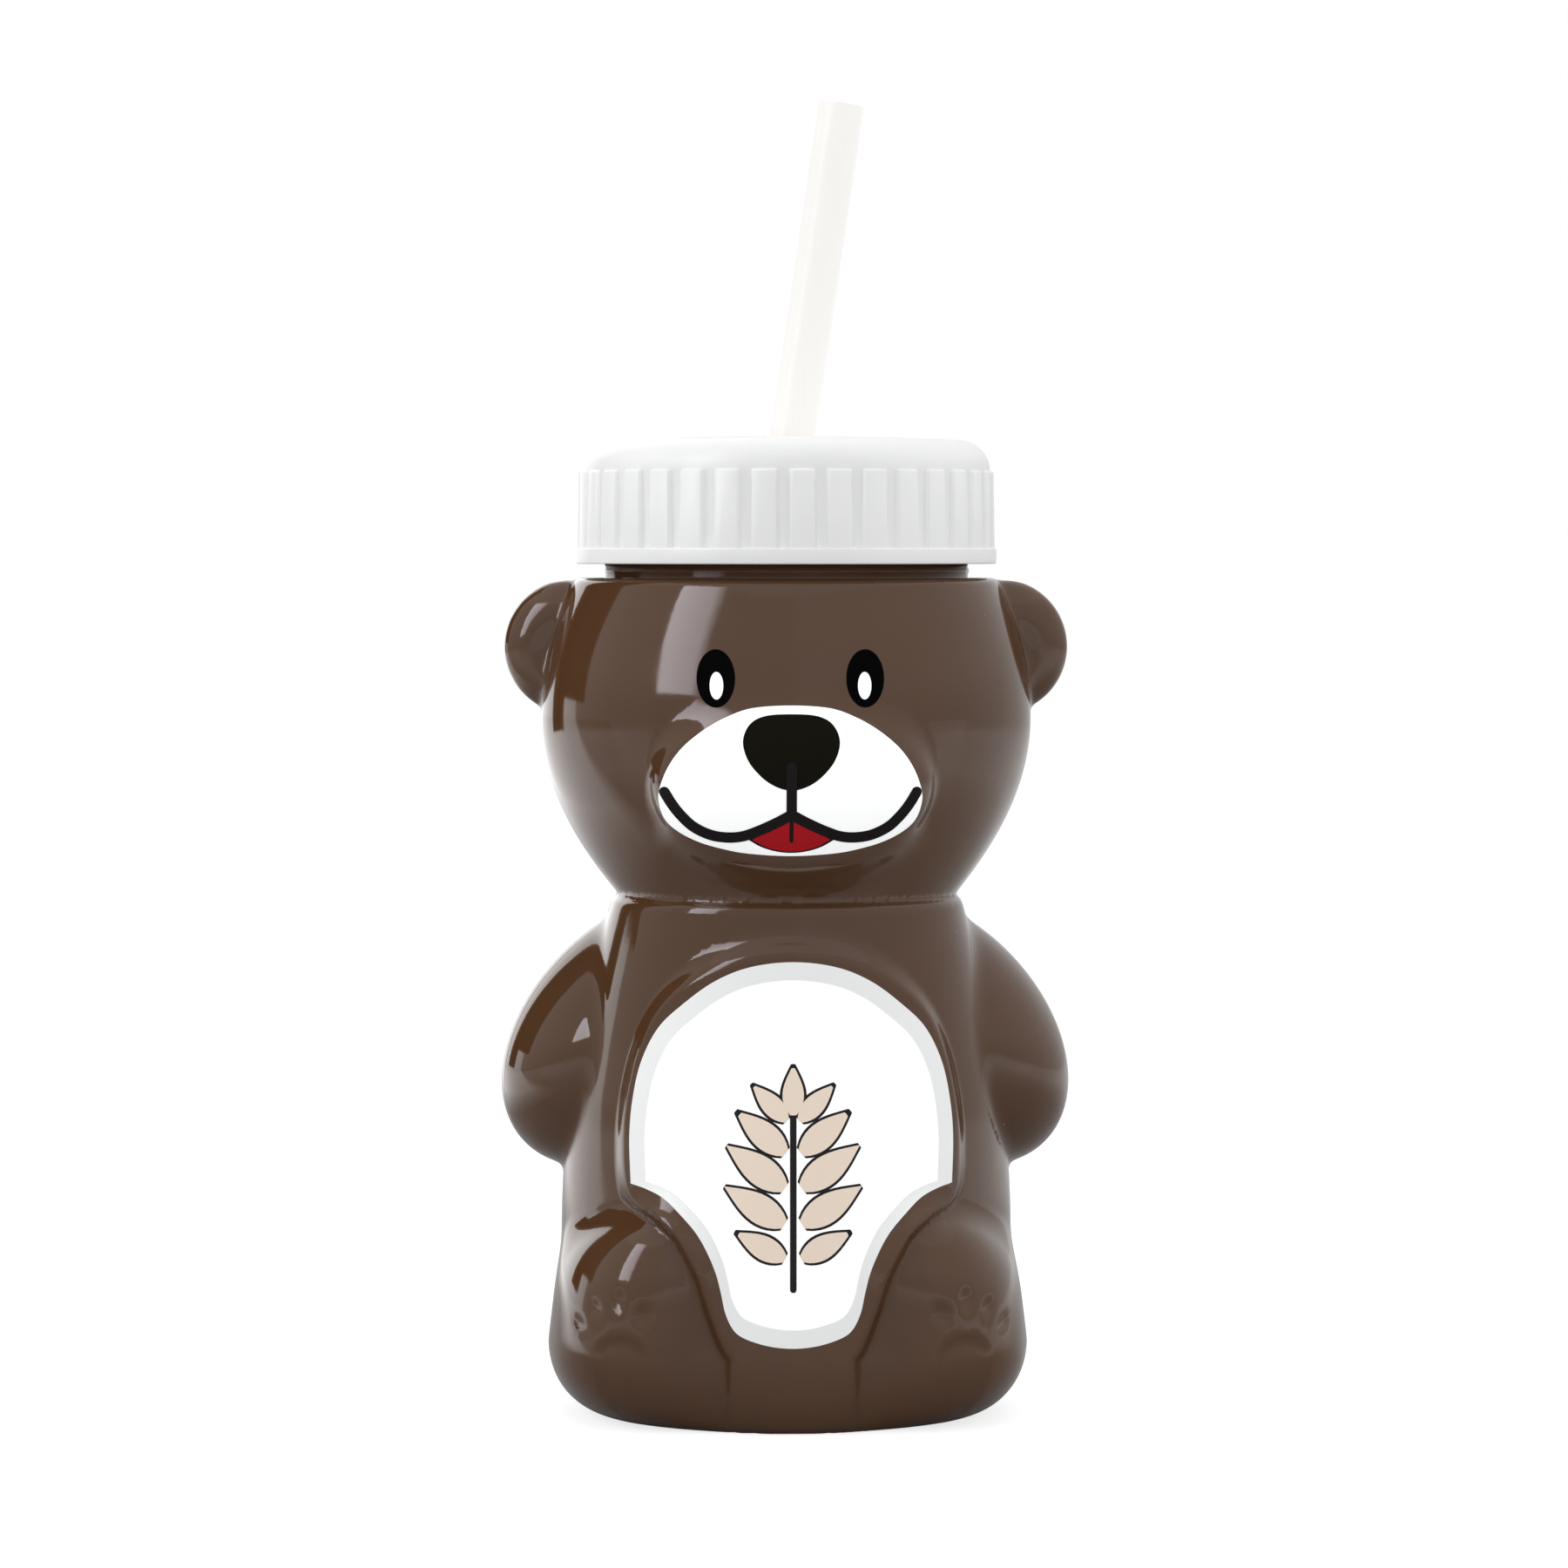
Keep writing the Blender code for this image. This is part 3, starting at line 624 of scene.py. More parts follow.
def printInk(name, colour, roughness=0.5, shine=0.3, paintedGlow=0.0):
    # Screen-printed ink, cured to an even film with a faint mesh texture. The pale inks carry a painted glow
    # that lifts them towards full white: painted light, not light from the lamps.
    made, tree, shader = newMaterial(name, colour, roughness, {
        "Specular IOR Level": shine,
        "Emission Color": (0.96, 0.98, 1.0, 1.0), "Emission Strength": paintedGlow})
    film = addNode(tree, "ShaderNodeTexNoise", {"Scale": 1 / (0.4 * mm), "Detail": 2.0},
                   {"Vector": objectPlace(tree)})
    setSurface(tree, shader, film, (roughness - 0.06, roughness + 0.06), film, 0.003)
    return made


# Body: the bear's skin, the neck with its thread, and the cavity

neck = {
    "radius": 28.5, "wall": 2.6, "rimEdge": 0.5, "root": 4, "sides": 160,
    "beadHeight": 1.1, "beadRise": 0.22, "beadWidth": 0.7, "beadEdge": 0.2,
    "thread": {"root": 28.1, "crest": 29.8, "pitch": 4.2, "turns": 1.25, "rootWidth": 1.9,
               "crestWidth": 1.0, "stepsPerTurn": 96, "fadeTurns": 0.06, "endShare": 0.04},
    "threadRise": 7.7,
}

bodySkin = {
    "netLow": (-47.3, -42.3, -1.3), "netHigh": (47.3, 40.5), "netTop": 1.5, "netStep": 1.0, "relaxRounds": 3,
    "stepReach": 0.5, "stepLimit": 0.05, "bendReach": 0.9, "bendLimit": 0.28, "sharpAngle": 55,
    "wall": 1.2, "cavitySides": 96, "cavityRows": 44, "cavityReach": 55, "cavitySteps": 220,
    "cavityEdge": 0.8, "mouthFlare": 2.0, "mouthRise": 1.5,
}


def cavityRadii(heights, angles):
    # How far the cavity reaches at each height and angle: first in steps, then by halving the last one
    s = bodySkin
    up, turn = np.meshgrid(heights, angles, indexing="ij")

    def inCavity(radius):
        return sideForm(radius * np.cos(turn), radius * np.sin(turn), up, bearForm, cavity=True) < -s["wall"]

    steps = np.linspace(0, s["cavityReach"], s["cavitySteps"])
    inside = np.zeros_like(up)
    for radius in steps:
        inside = np.where(inCavity(radius), radius, inside)
    outside = inside + steps[1]
    for _ in range(14):
        middle = (inside + outside) / 2
        deep = inCavity(middle)
        inside, outside = np.where(deep, middle, inside), np.where(deep, outside, middle)
    return inside


def makeCavity(rimHeight, material):
    b, s = bearForm, bodySkin
    angles = np.arange(s["cavitySides"]) * math.tau / s["cavitySides"]
    shares = 1 / np.hypot(np.cos(angles), np.sin(angles) / np.where(np.sin(angles) < 0, b["frontDepth"], 1))
    ceiling = b["torsoHeight"] + b["headHeight"] - s["wall"]
    heights = np.linspace(b["baseCorner"], ceiling - s["cavityEdge"], s["cavityRows"])
    radii = cavityRadii(heights, angles)
    ringInner = (b["baseRing"] - b["baseRingWidth"]) * shares
    foot, floor = b["baseRing"] * shares - s["wall"], b["pushUp"] + s["wall"]
    rings = [(0, floor), (ringInner - b["pushUpSlope"], floor), (ringInner, s["wall"])]
    for turn in np.linspace(0, math.pi / 2, 8, endpoint=False):
        rise = (b["baseCorner"] - s["wall"]) * (1 - math.cos(turn))
        rings.append((blend(foot, radii[0], math.sin(turn)), s["wall"] + rise))
    bore, flareTop = neck["radius"] - neck["wall"], rimHeight + s["mouthRise"]
    rings += [*zip(radii, heights), (radii[-1] - s["cavityEdge"], ceiling), (bore, ceiling),
              (bore, rimHeight - neck["rimEdge"]), (bore + neck["rimEdge"], rimHeight),
              (bore + s["mouthFlare"], flareTop), (0, flareTop)]
    return turned("cavity", rings, s["cavitySides"], material)


def fineParts(places):
    # Where the skin needs small faces: at steps of the relief and wherever two forms meet in a tight bend
    s = bodySkin
    x, y, z = places.T
    _, slopes = formSlopes(places, bodyForm)
    bend = np.zeros(len(places))
    for side in np.eye(3) * s["bendReach"]:
        _, near = formSlopes(places + side, bodyForm)
        bend = np.maximum(bend, np.linalg.norm(near - slopes, axis=1))
    steep = np.zeros(len(places), bool)
    for dx, dz in np.array(((1, 0), (0, 1), (-1, 0), (0, -1))) * s["stepReach"]:
        steep |= np.abs(reliefAt(x + dx, z + dz) - reliefAt(x, z)) > s["stepLimit"]
    return (steep & (y < 0)) | (bend > s["bendLimit"])


def makeBody(material):
    b, s = bearForm, bodySkin
    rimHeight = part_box("bottle_body")[1].z / mm
    headTop = b["torsoHeight"] + b["headHeight"]
    points, quads = netRound(bodyForm, s["netLow"], (*s["netHigh"], headTop + s["netTop"]), s["netStep"])
    points, faces = refined(relaxed(points, quads, bodyForm, s["relaxRounds"]), quads.tolist(), fineParts)
    points = settle(points, bodyForm)
    body = addMesh("bearBody", points, faces, material)
    print("net of the body", len(points), "points")

    r, half, bead = neck["radius"], neck["beadWidth"], headTop + neck["beadHeight"]
    profile = filleted([
        (0, headTop - neck["root"], 0), (r, headTop - neck["root"], 0),
        (r, bead - half, 0), (r + neck["beadRise"], bead, neck["beadEdge"]), (r, bead + half, 0),
        (r, rimHeight, neck["rimEdge"]), (0, rimHeight, 0)])
    combine(body, turned("neckTube", profile, neck["sides"], material), "UNION")
    combine(body, helixRidge("neckThread", neck["thread"], headTop + neck["threadRise"], material), "UNION")
    combine(body, makeCavity(rimHeight, material), "DIFFERENCE")
    sharpen(body, s["sharpAngle"])
    finishPiece(body, "bottle", "body_plastic", "bottle_body")


# Prints: thin films of ink that lie on the bear's front

prints = {
    "grid": 0.5, "edgeStep": 0.25, "edgeGap": 0.225, "sink": 0.05, "sharpAngle": 40,
    "startDepth": -43.0, "depthRounds": 70, "depthShare": 0.75, "faceShift": -0.4,
    "snoutHalf": [(0, 111.2), (5.8, 110.8), (9.6, 109.5), (13.0, 107.6), (16.3, 104.9), (18.5, 101.9),
                  (19.8, 98.6), (19.9, 96.4), (19.0, 93.9), (17.2, 92.2), (14.3, 90.7), (11.0, 89.7),
                  (6.8, 88.9), (0, 88.5)],
    "eyeCentre": (11.3, 115.25), "eyeHalf": (2.9, 4.4),
    "glintCentre": (11.2, 114.15), "glintHalf": (1.03, 2.08),
    "noseHalf": [(0, 109.9), (4.0, 109.6), (6.3, 108.3), (7.3, 105.8), (6.5, 102.9), (4.4, 100.4),
                 (2.2, 99.0), (0, 98.5)],
    "mouthWidth": 1.58,
    "lipLine": [(0, 101.9), (0, 98.3), (0, 94.9)],
    "mouthHalf": [(0.2, 94.75), (2.35, 93.6), (4.95, 92.4), (7.35, 91.55), (9.75, 91.35), (12.25, 91.75),
                  (14.75, 92.95), (16.65, 94.7), (18.0, 96.4), (19.05, 98.1)],
    "tongueHalf": [[(0, 94.4), (3.0, 92.9), (6.45, 91.0)],
                   [(6.45, 91.0), (4.6, 89.95), (2.4, 89.25), (0, 89.0)]],
    "tongueShare": 0.9125, "tongueMiddle": 91.5,
    "tongueLine": [(0, 94.4), (0, 92.6), (0, 90.9)], "tongueLineWidth": 0.6,
    "bellyHalf": [[(0, 72.2), (6.5, 71.4), (11.8, 69.2), (16.5, 65.7), (20.4, 61.8), (23.0, 56.5),
                   (24.3, 50.7), (24.8, 44.8), (24.6, 37.8)],
                  [(24.6, 37.8), (22.1, 37.1), (19.6, 35.9), (17.1, 33.6), (14.8, 31.0), (13.2, 28.3),
                   (11.8, 25.0), (11.0, 22.0), (10.3, 18.8), (9.1, 16.3), (7.4, 15.0), (3.9, 13.9),
                   (0, 13.5)]],
    "bellyShare": 0.905, "bellyMiddle": 42.9,
}


def frontDepth(x, z):
    # Where a line from the front meets the bear
    y = np.full(x.shape, prints["startDepth"])
    for _ in range(prints["depthRounds"]):
        y = y + prints["depthShare"] * np.clip(bodyForm(x, y, z), -1, 3)
    return y


def evenSteps(outline, step):
    # The same closed outline with points at most a step apart, which keeps its corners
    places = []
    for start, end in zip(outline, np.roll(outline, -1, axis=0)):
        count = max(1, math.ceil(np.linalg.norm(end - start) / step))
        places.extend(start + (end - start) * i / count for i in range(count))
    return np.array(places)


def printFilm(name, outlines, material, lift):
    # Fills outlines with an even grid of triangles, lays it on the body and gives it a thickness
    points, faces, grid = [], [], prints["grid"]
    for outline in outlines:
        edge = evenSteps(outline, prints["edgeStep"])
        low, high = edge.min(axis=0), edge.max(axis=0)
        gx, gz = np.meshgrid(np.arange(low[0], high[0], grid), np.arange(low[1], high[1], grid))
        gx = gx + 0.5 * grid * (np.arange(len(gx)) % 2)[:, None]
        deep = insideDistance(gx, gz, outline) > prints["edgeGap"]
        flat = np.vstack((edge, np.stack((gx[deep], gz[deep]), axis=1)))
        found = delaunay_2d_cdt([Vector(p) for p in flat], [], [list(range(len(edge)))], 1, 1e-5)
        flat = np.array([tuple(v) for v in found[0]])
        laid = np.stack((flat[:, 0], frontDepth(*flat.T), flat[:, 1]), axis=1)
        _, slopes = formSlopes(laid, bodyForm)
        normal = slopes / np.linalg.norm(slopes, axis=1, keepdims=True)

        # The upper side, the same turned over below it, and a wall along the free edges
        front, back = len(points), len(points) + len(flat)
        points.extend(laid + normal * lift)
        points.extend(laid - normal * prints["sink"])
        upper = []
        for a, b, c in found[2]:
            (ux, uz), (vx, vz) = flat[b] - flat[a], flat[c] - flat[a]
            upper.append((a, b, c) if ux * vz > uz * vx else (a, c, b))
        edges = {(t[i], t[(i + 1) % 3]) for t in upper for i in range(3)}
        faces.extend(tuple(front + v for v in t) for t in upper)
        faces.extend(tuple(back + v for v in reversed(t)) for t in upper)
        faces.extend((front + b, front + a, back + a, back + b) for a, b in edges if (b, a) not in edges)
    finishPiece(addMesh(name, points, faces, material, prints["sharpAngle"]), "bottle", "body_plastic")


def stroke(path, width, steps=8):
    # Outline of a pen stroke with round ends along a curve
    line = throughPoints(path, steps) if len(path) > 2 else np.array(path, float)
    line = line[np.r_[True, np.linalg.norm(np.diff(line, axis=0), axis=1) > 1e-6]]
    along = np.gradient(line, axis=0)
    along /= np.linalg.norm(along, axis=1, keepdims=True)
    side = np.stack((-along[:, 1], along[:, 0]), axis=1) * width / 2
    caps = []
    for point, direction in ((line[-1], side[-1]), (line[0], -side[0])):
        for angle in np.linspace(0, math.pi, 9)[1:-1]:
            turn = np.array(((math.cos(angle), math.sin(angle)), (-math.sin(angle), math.cos(angle))))
            caps.append(point + turn @ direction)
    return np.vstack((line + side, caps[:7], (line - side)[::-1], caps[7:]))


def oval(centre, half, count=56):
    turn = np.arange(count) * math.tau / count
    return np.stack((centre[0] + half[0] * np.cos(turn), centre[1] + half[1] * np.sin(turn)), axis=1)


# A plain sprig of leaves on the belly panel

sprig = {
    "foot": 22.5, "top": 49.0, "stemWidth": 1.0, "inset": 0.42,
    "leaves": [(26.5, 62, 10.0, 4.6), (31.6, 58, 12.4, 5.4), (37.0, 54, 12.6, 5.5), (42.3, 50, 11.4, 5.0),
               (47.2, 44, 9.0, 4.0)],
    "topLeaf": (9.0, 4.2), "topSink": 0.6, "footGap": 0.75,
}


def leafOutline(footX, footZ, length, width, tilt, inset=0.0):
    # A pointed leaf that starts at its foot and leans by tilt degrees from straight up
    shares = np.linspace(0, 1, 15)
    half = width / 2 * np.sin(math.pi * shares**0.8) ** 0.85 * (1 - 0.35 * shares**3)
    along = length * shares
    inner = np.maximum(half - inset, 0)
    keep = inner > 0.02
    along, inner = along[keep], inner[keep]
    ends = [along[0] - 0.05, along[-1] + 0.05]
    points = np.vstack(([(0, ends[0])], np.stack((inner, along), axis=1), [(0, ends[1])],
                        np.stack((-inner, along), axis=1)[::-1]))
    turn = math.radians(tilt)
    x = points[:, 0] * math.cos(turn) + points[:, 1] * math.sin(turn)
    z = points[:, 1] * math.cos(turn) - points[:, 0] * math.sin(turn)
    return np.stack((x + footX, z + footZ), axis=1)


def makeSprig():
    g = sprig
    rims, fills = [], []
    for footZ, tilt, length, width in g["leaves"]:
        lean = math.radians(tilt)
        for side in (-1, 1):
            foot = side * math.sin(lean) * g["footGap"], footZ + math.cos(lean) * g["footGap"]
            rims.append(leafOutline(*foot, length, width, side * tilt))
            fills.append(leafOutline(*foot, length, width, side * tilt, g["inset"]))
    top = (0, g["top"] - g["topSink"], *g["topLeaf"], 0)
    rims += [leafOutline(*top), stroke([(0, g["foot"]), (0, g["top"])], g["stemWidth"])]
    fills.append(leafOutline(*top, g["inset"]))
    printFilm("sprigRims", rims, printInk("darkScreenInk", "#2A2829", 0.8, 0.05), 0.075)
    # The cream leaf ink has a faint painted glow that lifts it towards white
    printFilm("sprigLeaves", fills, printInk("creamScreenInk", "#F4E1CE", paintedGlow=0.05), 0.10)


def makePrints():
    p = prints
    # The white and pale grey inks glow a little: painted light that lifts them to full white
    white = printInk("whiteScreenInk", "#FBFBFB", paintedGlow=0.3)
    grey = printInk("paleGreyScreenInk", "#E8EAE9", paintedGlow=0.14)
    black = printInk("blackScreenInk", "#050505", 0.85, 0.02)
    brownBlack = printInk("brownBlackScreenInk", "#16150F", 0.85, 0.02)
    dark = printInk("softBlackScreenInk", "#1F1B1C", 0.8, 0.04)
    red = printInk("redScreenInk", "#AE1B24", 0.8, 0.05)

    # Each film: its name, outlines, ink and how high it lies over the skin
    sides = [np.array((side, 1)) for side in (-1, 1)]
    eyes = [oval(np.array(p["eyeCentre"]) * side, p["eyeHalf"]) for side in sides]
    glints = [oval(np.array(p["glintCentre"]) * side, p["glintHalf"], 32) for side in sides]
    tongue, tongueMiddle = mirroredOutline(p["tongueHalf"]), np.array((0, p["tongueMiddle"]))
    mouth = [stroke(np.array(p["mouthHalf"]) * side, p["mouthWidth"]) for side in sides]
    for name, outlines, ink, lift in (
            ("snoutPrint", [mirroredOutline([p["snoutHalf"]])], white, 0.03),
            ("eyePrints", eyes, black, 0.03),
            ("eyeGlints", glints, white, 0.05),
            ("tongueRim", [tongue], dark, 0.05),
            ("tonguePrint", [blend(tongueMiddle, tongue, p["tongueShare"])], red, 0.07),
            ("tongueLine", [stroke(p["tongueLine"], p["tongueLineWidth"])], dark, 0.09),
            ("mouthRight", mouth[1:], dark, 0.10),
            ("mouthLeft", mouth[:1], dark, 0.11),
            ("nosePrint", [mirroredOutline([p["noseHalf"]])], brownBlack, 0.06),
            ("lipLine", [stroke(p["lipLine"], p["mouthWidth"])], dark, 0.12)):
        printFilm(name, [outline + (p["faceShift"], 0) for outline in outlines], ink, lift)

    makeSprig()
    belly, bellyMiddle = mirroredOutline(p["bellyHalf"]), np.array((0, p["bellyMiddle"]))
    printFilm("bellyBorder", [belly], grey, 0.03)
    printFilm("bellyPanel", [blend(bellyMiddle, belly, p["bellyShare"])], white, 0.05)


# Cap: a turned shell with an inside thread, and grip ribs set round it by Geometry Nodes

cap = {
    "wall": 1.8, "topWall": 1.6, "crown": 0.6, "cornerRadius": 4.8, "flangeHeight": 2.45, "flangeStep": 1.0,
    "edge": 0.25, "lipEdge": 0.2, "stepEdge": 0.15, "sides": 210, "sharpAngle": 40,
    "holeRadius": 5.0, "holeEdge": 0.3, "holeChamfer": 0.2,
    "boreRadius": 30.15, "landHeight": 149.5, "landRadius": 24.8, "landSlope": 0.7, "landChamfer": 0.3,
    "thread": {"root": 30.55, "crest": 28.85, "pitch": 4.2, "turns": 1.25, "rootWidth": 1.9,
               "crestWidth": 1.0, "stepsPerTurn": 96, "fadeTurns": 0.06, "endShare": 0.04},
    "threadStart": 136.2,
}

ribs = {
    "count": 35, "height": 0.55, "faceTop": 3.25, "faceBottom": 3.7, "flank": 0.3, "edge": 0.14, "sink": 0.6,
    "draft": 0.15, "topChamfer": 0.35, "phase": -0.5,
}


def ribMesh(low, high, rootRadius):
    # One grip rib that stands on the cap's wall at angle 0: it widens downwards and has softened edges
    r = ribs
    flank, edge, points = r["flank"], r["edge"], []
    # Rows of heights, how far the crest stands out there, and how much narrower its sides are
    rows = ((low - 0.2, r["draft"], 0), (low, r["draft"], 0), (high - r["topChamfer"], 0, 0),
            (high - 0.1, -0.16, 0.06), (high, -r["height"] * 0.75, 0.2),
            (high + 0.12, -r["height"] - 0.25, 0.3))
    for height, lift, inset in rows:
        face = blend(r["faceBottom"], r["faceTop"], (height - low) / (high - low)) / 2 - inset
        top = rootRadius + r["height"] + lift
        half = [(rootRadius - r["sink"], face + flank), (min(rootRadius - 0.02, top), face + flank + 0.12),
                (min(rootRadius + 0.08, top), face + flank), (top - edge, face + 0.08),
                (top - edge * 0.3, face - 0.03), (top, face - edge)]
        points += [(x, -y, height) for x, y in half] + [(top + 0.01, 0, height)]
        points += [(x, y, height) for x, y in half[::-1]]
    return points, loftFaces(len(rows), len(points) // len(rows))


def ribTree():
    tree = bpy.data.node_groups.new("gripRibs", "GeometryNodeTree")
    tree.interface.new_socket("Geometry", in_out="OUTPUT", socket_type="NodeSocketGeometry")
    for name, kind in (("Rib", "Object"), ("Rib count", "Int"), ("Phase", "Float"), ("Plastic", "Material")):
        tree.interface.new_socket(name, in_out="INPUT", socket_type="NodeSocket" + kind)
    given = addNode(tree, "NodeGroupInput").outputs
    spots = addNode(tree, "GeometryNodePoints", {}, {"Count": given["Rib count"]})
    rib = addNode(tree, "GeometryNodeObjectInfo", {}, {"Object": given["Rib"]})
    index = addNode(tree, "GeometryNodeInputIndex")
    shifted = addNode(tree, "ShaderNodeMath", {"operation": "ADD"}, {0: index, 1: given["Phase"]})
    share = addNode(tree, "ShaderNodeMath", {"operation": "DIVIDE"}, {0: shifted, 1: given["Rib count"]})
    angle = addNode(tree, "ShaderNodeMath", {"operation": "MULTIPLY", 1: math.tau}, {0: share})
    turn = addNode(tree, "ShaderNodeCombineXYZ", {}, {"Z": angle})
    placed = addNode(tree, "GeometryNodeInstanceOnPoints", {}, {
        "Points": spots, "Instance": rib.outputs["Geometry"], "Rotation": turn})
    real = addNode(tree, "GeometryNodeRealizeInstances", {}, {0: placed})
    dressed = addNode(tree, "GeometryNodeSetMaterial", {}, {"Geometry": real, "Material": given["Plastic"]})
    addNode(tree, "NodeGroupOutput", {}, {0: dressed})
    return tree


def makeCap(material):
    c = cap
    low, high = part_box("screw_cap")
    bottom, top = low.z / mm, high.z / mm
    bore, hole, corner, land = c["boreRadius"], c["holeRadius"], c["cornerRadius"], c["landHeight"]
    edge, angle = c["holeEdge"], c["sharpAngle"]
    wall, flangeTop = bore + c["wall"], bottom + c["flangeHeight"]
    cornerTop, cornerMiddle = top - c["crown"], wall - corner
    ribTop, under = cornerTop - corner, top - c["topWall"]

    # Flange, wall, rounded corner and crown, then the hole, the underside, the seal's land and the bore
    profile = filleted([
        (bore, bottom, c["lipEdge"]), (wall + c["flangeStep"], bottom, c["edge"]),
        (wall + c["flangeStep"], flangeTop, c["edge"]), (wall, flangeTop, c["stepEdge"]),
        (wall, ribTop, 0)])[:-1]
    for turn in np.linspace(0, math.pi / 2, 16):
        profile.append((cornerMiddle + corner * math.cos(turn), ribTop + corner * math.sin(turn)))
    for radius in np.linspace(cornerMiddle, hole + edge, 8)[1:]:
        profile.append((radius, cornerTop + c["crown"] * (1 - (radius / cornerMiddle) ** 2)))
    crownTop = profile[-1][1]
    profile += [
        (hole + edge * 0.3, crownTop - edge * 0.3), (hole, crownTop - edge),
        (hole, under + c["holeChamfer"]), (hole + c["holeChamfer"], under),
        (c["landRadius"] - c["landSlope"], under), (c["landRadius"], land),
        (bore - c["landChamfer"], land), (bore, land - c["landChamfer"])]
    shell = turned("bottleCap", profile, c["sides"], material, angle)
    combine(shell, helixRidge("capThread", c["thread"], c["threadStart"], material), "UNION")

    # The ribs, as one mesh that is joined to the shell
    rib = addMesh("rib", *ribMesh(flangeTop, ribTop, wall), material, angle, outwards=True)
    holder = addMesh("gripRibs", [(0, 0, 0)], [], material)
    growth = holder.modifiers.new("ribs", "NODES")
    growth.node_group = ribTree()
    sockets = {item.name: item.identifier for item in growth.node_group.interface.items_tree}
    given = {"Rib": rib, "Rib count": ribs["count"], "Phase": ribs["phase"], "Plastic": material}
    for name, value in given.items():
        growth[sockets[name]] = value
    applyModifiers(holder)
    combine(shell, holder, "UNION")
    bpy.data.objects.remove(rib, do_unlink=True)
    sharpen(shell, angle)
    finishPiece(shell, "cap", "cap_plastic", "screw_cap")


# Sealing ring between the rim and the cap

seal = {"gap": 0.3, "edge": 0.2, "sides": 128, "sharpAngle": 50}


def makeSeal(material):
    low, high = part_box("cap_seal")
    outer, bottom, top = high.x / mm, low.z / mm, high.z / mm
    inner, edge = cap["landRadius"] + seal["gap"], seal["edge"]
    corners = [(inner, bottom, edge), (outer, bottom, edge), (outer, top, edge), (inner, top, edge)]
    ring = turned("sealRing", filleted(corners, 4), seal["sides"], material, seal["sharpAngle"])
    finishPiece(ring, "lift", "seal_foam", "cap_seal")


# Straw: a thin tube with softened ends, turned to the lean of its slide joint

straw = {
    "radius": 3.75, "wall": 0.5, "length": 202.0, "edge": 0.12, "sides": 96, "rows": 24, "sharpAngle": 50,
}


def makeStraw(material):
    s = straw
    bore = s["radius"] - s["wall"]
    half = s["length"] / 2
    corners = [(bore, -half, s["edge"]), (s["radius"], -half, s["edge"])]
    corners += [(s["radius"], height, 0) for height in np.linspace(-half, half, s["rows"])[1:-1]]
    corners += [(s["radius"], half, s["edge"]), (bore, half, s["edge"])]
    tube = turned("drinkingStraw", filleted(corners, 4), s["sides"], material, s["sharpAngle"])
    slide = next(joint for joint in frame["joints"] if joint["name"] == "straw_slide")
    low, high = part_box("straw")
    lean = Vector(slide["axis"]).to_track_quat("Z", "Y").to_matrix().to_4x4()
    lean.translation = (low + high) / 2
    tube.data.transform(lean)
    finishPiece(tube, "straw", "straw_plastic", "straw")


# Studio: white floor and world, soft boxes, and dark boards that only the gloss sees

studio = {
    "floorSize": 9000, "floorAlbedo": "#B0B0B0", "floorGlow": 0.76,
    # Ramps of what the gloss sees: a glow of zero at the first distance, and in full at the second
    "frontRamp": (30, 120, 0.2), "nearRamp": (180, 420, 0.3), "farRamp": (420, 2500, -0.18),
    "leftRamp": (130, 240, 1.1), "rightRamp": (120, 420), "floorRightGlow": 0.24, "wallRightGlow": 0.08,
    "brightEdge": (0.46, 0.89, 121), "brightSoft": 25,
    "wallRadius": 4400, "wallHeight": 4400, "wallSides": 64,
    "wallGlow": (0.62, 0.76), "wallRamp": (200, 1100),
    "skyStrength": 0.76, "boxAimHeight": 100,
    "softBoxes": {
        "leftSoftBox": {"turn": -95, "rise": 25, "distance": 1500, "size": (900, 900), "power": 7.0},
        "rightSoftBox": {"turn": 95, "rise": 25, "distance": 1500, "size": (900, 900), "power": 4.0},
        "topSoftBox": {"turn": 0, "rise": 88, "distance": 1500, "size": (1200, 1200), "power": 3.0},
        "frontSoftBox": {"turn": 0, "rise": 12, "distance": 1500, "size": (900, 900), "power": 3.2},
    },
    "keyPanel": {"turn": -51, "rise": 28, "distance": 1300, "size": (520, 900), "bright": 7.2, "dim": 4.4,
                 "fadeFrom": 0.55, "fadeTo": 0.15, "colour": (0.97, 0.95, 1.02, 1.0)},
    "boards": [
        {"turn": -133.6, "width": 235, "distance": 900, "low": 45, "height": 1470, "colour": "#2A1A10"},
        {"turn": -139.2, "width": 9, "distance": 890, "low": 45, "height": 1470, "colour": "#A8702E"},
        {"turn": -136.6, "width": 14, "distance": 890, "low": 45, "height": 1470, "colour": "#7A3A1C"},
        {"turn": -116.6, "width": 310, "distance": 900, "low": 150, "height": 1400, "colour": "#33241A"},
    ],
}


glowOnly = {"Specular IOR Level": 0.0, "Emission Color": (1, 1, 1, 1)}
oneFace = [(0, 1, 2, 3)]


def rayMask(tree, *kinds):
    # One where a ray of any of these kinds looks, else zero
    path = addNode(tree, "ShaderNodeLightPath").outputs
    mask = path[kinds[0]]
    for kind in kinds[1:]:
        mask = addNode(tree, "ShaderNodeMath", {"operation": "MAXIMUM"}, {0: mask, 1: path[kind]})
    return mask


def alongAxis(tree, direction, offset=0.0):
    # How far a point lies along a direction, in metres
    dot = addNode(tree, "ShaderNodeVectorMath", {"operation": "DOT_PRODUCT", 1: direction},
                  {0: objectPlace(tree)})
    return addNode(tree, "ShaderNodeMath", {"operation": "ADD", 1: offset * mm}, {0: dot.outputs["Value"]})


